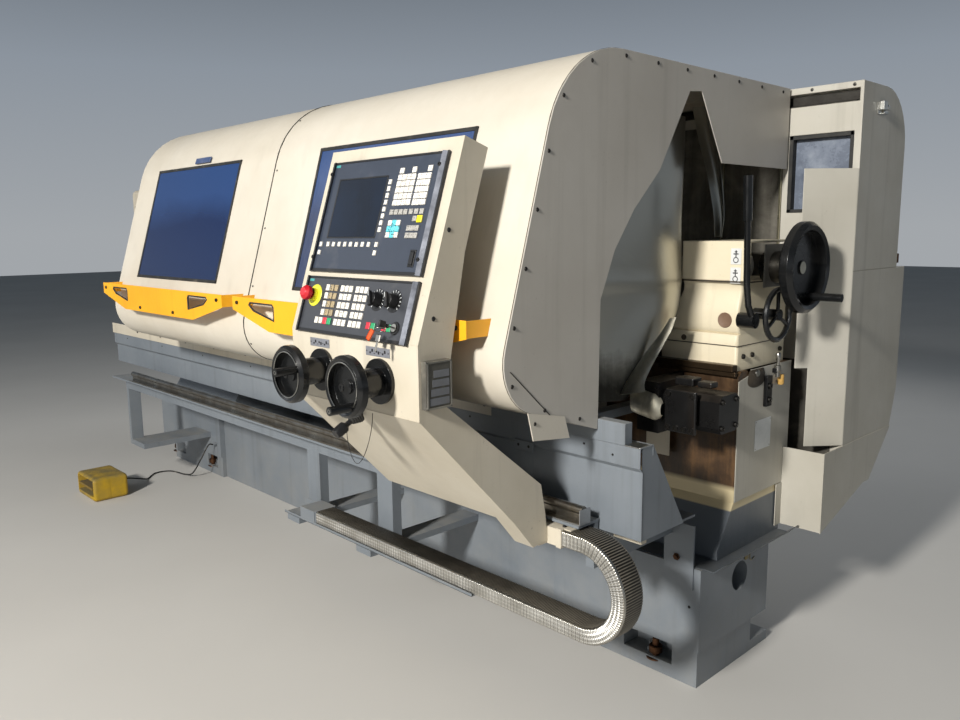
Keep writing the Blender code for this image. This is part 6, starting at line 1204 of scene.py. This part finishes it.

# Bed: cast iron, cream where it shows, stained brown by years of oily coolant in front.
# The stain follows the coolant's runs from the motor down to the foot.
bed_paint, tree, place = new_finish("oil_stained_enamel_on_cast_iron")
split = add_node(tree, "SeparateXYZ", {"Vector": place})
wide = add_node(tree, "TexNoise", {"Vector": place, "Scale": 9, "Detail": 8, "Roughness": 0.72})
runs = add_node(tree, "Mapping", {"Vector": place, "Scale": (34, 34, 3)})
runs = add_node(tree, "TexNoise", {"Vector": runs, "Scale": 1, "Detail": 8, "Roughness": 0.7})
both = add_node(tree, "Math", {0: wide, 1: runs}, operation="ADD")
both = add_node(tree, "Math", {0: both, 1: 0.5}, operation="MULTIPLY")
stain = add_node(tree, "ValToRGB", {"Fac": both}, [(0.32, "#1d150d"), (0.48, "#3f2d1c"), (0.60, "#5f4529"),
                                                  (0.72, "#8d7650")])
low = add_node(tree, "MapRange", {"Value": split.outputs["Z"], "From Min": 0.610, "From Max": 0.628})
cream_strip = add_node(tree, "MixRGB", {"Fac": low, "Color1": linear("#d3c39c"), "Color2": stain})
foot = add_node(tree, "MapRange", {"Value": split.outputs["Z"], "From Min": 0.546, "From Max": 0.550})
painted = add_node(tree, "MixRGB", {"Fac": foot, "Color1": linear("#666c72"), "Color2": cream_strip})
gloss = add_node(tree, "MapRange", {"Value": both, "From Min": 0.3, "From Max": 0.7, "To Min": 0.26, "To Max": 0.6})
rough_bump = add_node(tree, "Bump", {"Height": wide, "Strength": 0.35, "Distance": 0.002})
close_finish(tree, {"Base Color": painted, "Roughness": gloss, "IOR": 1.5, "Normal": rough_bump})
paint(("bed",), bed_paint, edge=0.002)
cream_patch = block("bed_front_cream_plate", at(-0.325, 0.1640, 0.690), at(-0.232, 0.1670, 0.800), 0.001, 1)
mount(cream_patch, worn_cream, "machine")

# Feed motor: black-painted servo motor with a square flange, four corner screws, a pair of plug blocks on top and a
# screwed terminal block in front.
motor_black = enamel("black_motor_paint", "#0e0e0f", "#181716", grime="#3a2c1d", dust="#3f3529", run=0.5, dusty=0.45,
                     speck=0.5, rough=0.24)
paint(("servo_motor",), motor_black, edge=0.002)
MOTOR_HEIGHT = 0.900
plug_blocks = [block("motor_plug_1", at(-0.120, 0.012, 0.972), at(-0.055, 0.062, 0.9965), 0.004, 3),
               block("motor_plug_2", at(-0.045, 0.018, 0.972), at(0.004, 0.058, 0.990), 0.004, 3)]
mount(together("motor_plug_blocks", plug_blocks), motor_black, "machine")
front_block = block("motor_terminal_block", at(-0.118, -0.0420, 0.836), at(-0.012, -0.0300, 0.968), 0.004, 3)
mount(front_block, motor_black, "machine")
motor_bolt = turned("motor_bolt", socket_head(0.003, 0.0040, 0.0048, 0.0062, 0.0078, 0.0086, 0.0050), 20)
end_spots = [(0.0502, 0.045 + y, MOTOR_HEIGHT + z) for y in (-0.040, 0.040) for z in (-0.040, 0.040)]
block_spots = [(x, -0.0415, z) for x in (-0.106, -0.024) for z in (0.850, 0.954)]
block_spots += [(x, -0.0415, 0.850) for x in (-0.079, -0.051)]
mount(copies("motor_bolts", motor_bolt, facing(TO_RIGHT, end_spots) + facing(TO_FRONT, block_spots)), dark_screw,
      "machine")

# Splash guard: a tall rolled sheet of stainless steel beside the carriage, clouded by coolant. Its lower corner is
# rolled outward into a lip and roll over the motor, paler than the sheet as a painted highlight, and a crease runs
# across it.
def stainless(name, deep_tone, middle, clean, rough=0.4, drip=3.0, runs=1.0, darkening_heights=None):
    """Cold-rolled stainless sheet: dull satin with dried coolant, drips down the sheet and long fine scratches."""
    finish, tree, place = new_finish(name)
    wide = add_node(tree, "TexNoise", {"Vector": place, "Scale": 5, "Detail": 9, "Roughness": 0.7,
                                       "Distortion": 0.5})
    falls = add_node(tree, "Mapping", {"Vector": place, "Scale": (26, 26, drip)})
    falls = add_node(tree, "TexNoise", {"Vector": falls, "Scale": 1, "Detail": 7, "Roughness": 0.62})
    falls = add_node(tree, "Math", {0: falls, 1: 0.5 * runs, 2: 0.25 - 0.25 * runs}, operation="MULTIPLY_ADD")
    both = add_node(tree, "Math", {0: wide, 1: 0.5, 2: falls}, operation="MULTIPLY_ADD")
    # Between the two given heights the colour gets darker towards the bottom.
    if darkening_heights:
        high = add_node(tree, "SeparateXYZ", {"Vector": place}).outputs["Z"]
        darkening_below = add_node(tree, "MapRange", {"Value": high, "From Min": darkening_heights[0], "From Max": darkening_heights[1], "To Min": -0.16})
        both = add_node(tree, "Math", {0: both, 1: darkening_below}, operation="ADD")
    tone = add_node(tree, "ValToRGB", {"Fac": both}, [(0.36, deep_tone), (0.50, middle), (0.64, clean)])
    lines = add_node(tree, "Mapping", {"Vector": place, "Scale": (8, 8, 420), "Rotation": (0.05, 0.12, 0)})
    lines = add_node(tree, "TexNoise", {"Vector": lines, "Scale": 1, "Detail": 3})
    gloss = add_node(tree, "MapRange", {"Value": both, "From Min": 0.35, "From Max": 0.65, "To Min": rough + 0.2,
                                        "To Max": rough - 0.1})
    bump = add_node(tree, "Bump", {"Height": lines, "Strength": 0.12, "Distance": 0.0008})
    dent = add_node(tree, "Bump", {"Height": wide, "Strength": 0.25, "Distance": 0.006, "Normal": bump})
    shine = add_node(tree, "MapRange", {"Value": both, "From Min": 0.36, "From Max": 0.6, "To Min": 0.45,
                                        "To Max": 0.95})
    close_finish(tree, {"Base Color": tone, "Metallic": shine, "Roughness": gloss, "Normal": dent})
    return finish


GUARD_COURSE = [Vector(spot) for spot in ((-0.235, 0.1885), (-0.205, 0.165), (-0.207, 0.080), (-0.235, -0.020),
                                          (-0.285, -0.120), (-0.350, -0.210), (-0.430, -0.280))]
GUARD_LOW, GUARD_HIGH = 0.912, 1.798
GUARD_ROWS, GUARD_COLUMNS = 46, 44
GUARD_THICK = 0.002
ROLL_THICK = 0.0015
ROLL_RADIUS = 0.042
# Its front edge is cut back below CUTBACK_TOP, and turns out by LIP_OUT below the crease.
CUTBACK_TOP, CUTBACK_HIGH = 1.32, 0.41
CREASE_HEIGHT = 1.285
LIP_OUT = 0.016
guard = grid("rolled_guard", GUARD_COLUMNS, GUARD_ROWS)
for vertex in guard.data.vertices:
    across, up = vertex.co.x + 0.5, vertex.co.y + 0.5
    z = GUARD_LOW + (GUARD_HIGH - GUARD_LOW) * up
    cutback = 0.55 * max(0.0, (CUTBACK_TOP - z) / CUTBACK_HIGH) ** 1.2
    share = cutback + (1 - cutback) * across
    spot = on_course(GUARD_COURSE, share)
    ahead = on_course(GUARD_COURSE, min(share + 0.02, 1)) - on_course(GUARD_COURSE, max(share - 0.02, 0))
    out = Vector((-ahead.y, ahead.x)).normalized()
    lip = LIP_OUT * max(0.0, 1 - across / 0.10) ** 2 * min(1, max(0, (1.30 - z) / 0.20))
    crease = 0.004 * max(0.0, 1 - abs(z - CREASE_HEIGHT) / 0.02)
    ripple = 0.004 * math.sin(9 * across + 5 * z) * math.sin(7 * z)
    spot = spot + out * (min(crease + ripple, 0.003) - lip - 0.003)
    vertex.co = at(spot.x, spot.y, z)
smooth(thicken(guard, GUARD_THICK), 50)
guard_steel = stainless("coolant_stained_stainless", "#35332c", "#74726a", "#aeada5", rough=0.38, runs=0.4,
                        darkening_heights=(0.95, 1.45))
guard.data.materials.append(guard_steel)
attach(guard, "machine")
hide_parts("splash_guard")
rolled_painted_highlight = stainless("rolled_stainless_painted_highlight", "#9d9785", "#c6c1b0", "#e8e4d6", rough=0.44)
LIP_COURSE = [Vector(spot) for spot in ((-0.160, 0.060, 1.170), (-0.172, 0.044, 1.125), (-0.192, 0.016, 1.070),
                                        (-0.212, -0.014, 1.010), (-0.226, -0.036, 0.960), (-0.222, -0.046, 0.930))]
lip = grid("guard_lip", 8, 30)
for vertex in lip.data.vertices:
    across, down = vertex.co.x + 0.5, 0.5 - vertex.co.y
    spot = on_course(LIP_COURSE, down)
    wide = 0.018 + 0.058 * down
    curl = math.radians(115) * (across - 0.5)
    vertex.co = at(*(spot + Vector((wide * math.sin(curl) * 0.75, -wide * math.cos(curl) * 0.5, wide * 0.3 * across))))
mount(smooth(thicken(lip, ROLL_THICK), 60), rolled_painted_highlight, "machine")
roll = grid("guard_roll", 20, 16)
for vertex in roll.data.vertices:
    across, round_it = vertex.co.x + 0.5, vertex.co.y + 0.5
    size = ROLL_RADIUS * (1 - 0.55 * max(0.0, (across - 0.72) / 0.28) ** 2)
    angle = math.radians(-100 + 205 * round_it)
    vertex.co = at(-0.238 + 0.104 * across, -0.030 - size * 0.62 * math.cos(angle),
                   0.915 - 0.018 * across + size * math.sin(angle))
mount(smooth(thicken(roll, ROLL_THICK), 60), rolled_painted_highlight, "machine")

# Back wall of the turning space: greasy stainless sheets lapped side by side, their folded edges rubbed bright.
# A narrow rolled deflector hangs under the hood's peak.
greasy = stainless("greasy_stainless", "#3b382f", "#77736a", "#aeab9f", rough=0.46, drip=1.6, runs=0.6)
paint(("splash_back",), greasy, edge=0)
bright_edge = brushed_metal("bright_sheet_edge", "#b7b39b", "#8b8670", rough=0.3)
for number, (x, wide) in enumerate(((-0.346, 0.005), (-0.124, 0.006), (-0.90, 0.004), (-1.45, 0.004))):
    mount(block(f"sheet_edge_{number}", at(x - wide / 2, 0.6480, 0.92), at(x + wide / 2, 0.6570, 1.818), 0.001, 1),
          bright_edge, "machine")
    mount(block(f"sheet_lap_{number}", at(x - 0.030, 0.6545, 0.92), at(x - wide / 2, 0.6570, 1.818), 0.0006, 1), greasy,
          "machine")
deflector = grid("peak_deflector", 10, 26)
DEFLECTOR_COURSE = [Vector(spot) for spot in ((-0.286, 1.862), (-0.268, 1.76), (-0.238, 1.64), (-0.214, 1.50),
                                              (-0.214, 1.42))]
for vertex in deflector.data.vertices:
    across, down = vertex.co.x + 0.5, 0.5 - vertex.co.y
    spot = on_course(DEFLECTOR_COURSE, down)
    vertex.co = at(spot.x + 0.062 * (across - 0.5) * (1.4 - down), 0.40 + 0.022 * math.cos(3.1 * (across - 0.5)),
                   spot.y)
mount(smooth(thicken(deflector, ROLL_THICK), 50), guard_steel, "machine")

# Rear housing: cream sheet cabinet. Its roller channel and an open bay below are lined with dark sheets, painted shade
# inside them over grease; a pane sits in a black rubber frame; screws hold the top strip, a plated limit switch bracket
# is on the end, and black bolts hold the foot plate.
paint(("rear_rail",), brushed_metal("dark_roller_rail", "#4d4b47", "#2f2d2a", rough=0.4, lines=(3, 120, 120)), edge=0)
grease_and_painted_shade = plastic("greasy_channel_and_painted_shade", "#35322c", "#4a463d", rough=0.6)
mount(block("channel_lining", at(-4.08, 0.6965, 1.8570), at(0.120, 0.6985, 1.8975), 0.0004, 1), grease_and_painted_shade, "machine")
mount(block("channel_floor", at(-4.08, 0.6610, 1.8560), at(0.120, 0.6980, 1.8585), 0.0004, 1), grease_and_painted_shade, "machine")
hazy, tree, place = new_finish("hazy_safety_glass")
cloud = add_node(tree, "TexNoise", {"Vector": place, "Scale": 7, "Detail": 7, "Roughness": 0.7})
tone = add_node(tree, "ValToRGB", {"Fac": cloud}, [(0.32, "#4d5461"), (0.55, "#727a88"), (0.75, "#9aa2ad")])
smear = add_node(tree, "MapRange", {"Value": cloud, "From Min": 0.3, "From Max": 0.7, "To Min": 0.12, "To Max": 0.4})
close_finish(tree, {"Base Color": tone, "Roughness": smear, "IOR": 1.52})
paint(("rear_window",), hazy, edge=0)
frame_bars = [block(f"rear_frame_{i}", at(a, 0.6590, b), at(c, 0.6870, d), 0.001, 1) for i, (a, b, c, d) in enumerate((
    (-0.100, 1.748, 0.120, 1.7615), (-0.100, 1.502, -0.086, 1.7615), (0.108, 1.502, 0.1198, 1.7615),
    (-0.100, 1.5005, 0.120, 1.512)))]
mount(together("rear_window_gasket", frame_bars), gasket_rubber, "machine")
top_screw = turned("top_strip_screw", [(0, 0.0030), (0.003, 0.0028), (0.0050, 0.0016), (0.0056, 0), (0, 0)], 16)
spots = [(x, 0.6600, 1.909) for x in (-0.03, 0.112, -0.45, -0.90, -1.35, -1.80, -2.25, -2.70, -3.15, -3.60)]
mount(copies("top_strip_screws", top_screw, facing(TO_FRONT, spots)), dark_screw, "machine")
switch_parts = [block("switch_plate", at(0.1431, 0.782, 1.822), at(0.1455, 0.848, 1.862), 0.0008, 1),
                block("switch_body", at(0.1450, 0.792, 1.836), at(0.1600, 0.824, 1.866), 0.002, 2),
                block("switch_leaf", at(0.1450, 0.818, 1.826), at(0.1520, 0.852, 1.836), 0.001, 1),
                turned("switch_roller", [(0, 0.012), (0.007, 0.012), (0.008, 0.010), (0.008, 0), (0, 0)], 20,
                       at(0.146, 0.842, 1.848), (1, 0, 0))]
plated = brushed_metal("zinc_plated_bracket", "#d2d2cd", "#8e8d87", rough=0.3, scratch=0.4)
mount(together("limit_switch_bracket", switch_parts), plated, "machine")
mount(turned("housing_pin", [(0, 0.034), (0.006, 0.034), (0.007, 0.031), (0.007, 0), (0, 0)], 20,
             at(0.128, 1.088, 1.316)), rusty, "machine")
# The open bay is a dark sheet on the housing's front, behind the end panel: painted shade in the bay.
mount(block("open_bay", at(-0.160, 0.6575, 0.600), at(0.100, 0.6602, 0.985), 0.0006, 1), grease_and_painted_shade, "machine")
bolt_model = turned("foot_bolt", socket_head(0.0040, 0.0048, 0.0056, 0.0072, 0.0098, 0.0108, 0.0058), 24)
spots = [(x, 0.5218, z) for x, z in ((0.016, 0.566), (0.010, 0.436), (0.070, 0.492), (0.088, 0.578))]
mount(copies("foot_plate_bolts", bolt_model, facing(TO_FRONT, spots)), dark_screw, "machine")

# Plain covers of the headstock and of the rear housing: joints between their sheets, with a screw at each corner.
SHEET_ENDS = (-0.60, -1.45, -2.30, -3.15)
COVER_BACK = -0.1004
COVER_FRONT = -0.0980
joints = []
for name, y, low, high in (("lower", 1.1285, 0.880, 1.288), ("upper", 1.0485, 1.312, 1.745)):
    joints += [block(f"{name}_joint_{number}", at(x - 0.0015, y, low), at(x + 0.0015, y + 0.0021, high))
               for number, x in enumerate(SHEET_ENDS)]
GEAR_COVER_JOINTS = ((-4.000, -3.270, 1.6180, 1.6204), (-4.000, -3.270, 1.0990, 1.1014),
                     (-4.000, -3.9976, 1.0990, 1.6204), (-3.2724, -3.270, 1.0990, 1.6204))
joints += [block(f"gear_cover_joint_{number}", at(left, COVER_BACK, low), at(right, COVER_FRONT, high))
           for number, (left, right, low, high) in enumerate(GEAR_COVER_JOINTS)]
mount(together("sheet_joints", joints), seam_dark, "machine")
cover_screw = turned("cover_screw", [(0, 0.0030), (0.003, 0.0028), (0.0056, 0.0016), (0.0062, 0), (0, 0)], 16)
places = facing(TO_FRONT, [(x, -0.0998, z) for x in (-3.975, -3.635, -3.295) for z in (1.125, 1.594)])
for y, heights in ((1.1272, (0.90, 1.265)), (1.0498, (1.335, 1.72))):
    places += facing(TO_BACK, [(x + side, y, z) for x in SHEET_ENDS for side in (-0.03, 0.03) for z in heights])
mount(copies("cover_screws", cover_screw, places), dark_screw, "machine")

# Turning space: way covers, saddle, cross slide, tool post, chuck and quill, of ground and blackened steel.
paint(("saddle",), enamel("oily_grey_casting", "#77756e", "#5f5c54", run=0.5, dusty=0.5, speck=0.7, rough=0.32),
      edge=0.002)
paint(("cross_slide", "quill", "spindle"), brushed_metal("ground_steel", "#a7a59f", "#78746b", rough=0.3), edge=0.0015)
paint(("tool_post", "jaw_1", "jaw_2", "jaw_3"), black_steel, edge=0.0015)
ledge = [block("way_cover_top", at(-0.300, 0.168, 1.0010), at(-0.0130, 0.200, 1.0220), 0.002, 2),
         block("way_cover_low", at(-0.290, 0.174, 0.985), at(-0.0060, 0.1890, 1.0010), 0.002, 2)]
mount(together("way_cover", ledge), brushed_metal("oily_way_cover", "#5d4d3c", "#2e241a", rough=0.42), "machine")

# Foot switch: cast housing in chipped yellow, its treadle dark with dirt from shoes.
paint(("foot_switch",), enamel("chipped_yellow_casting", "#c9a01c", "#8a7418", grime="#33280f", dust="#6f643f", run=0.8,
                               dusty=0.9, speck=0.9, rough=0.45, splash=0.9), edge=0.002)
paint(("foot_pedal",), enamel("trodden_yellow_treadle", "#7c621d", "#57461b", grime="#2a2112", dust="#5b523c", run=0.7,
                              dusty=0.9, speck=0.9, rough=0.5), edge=0.0015)
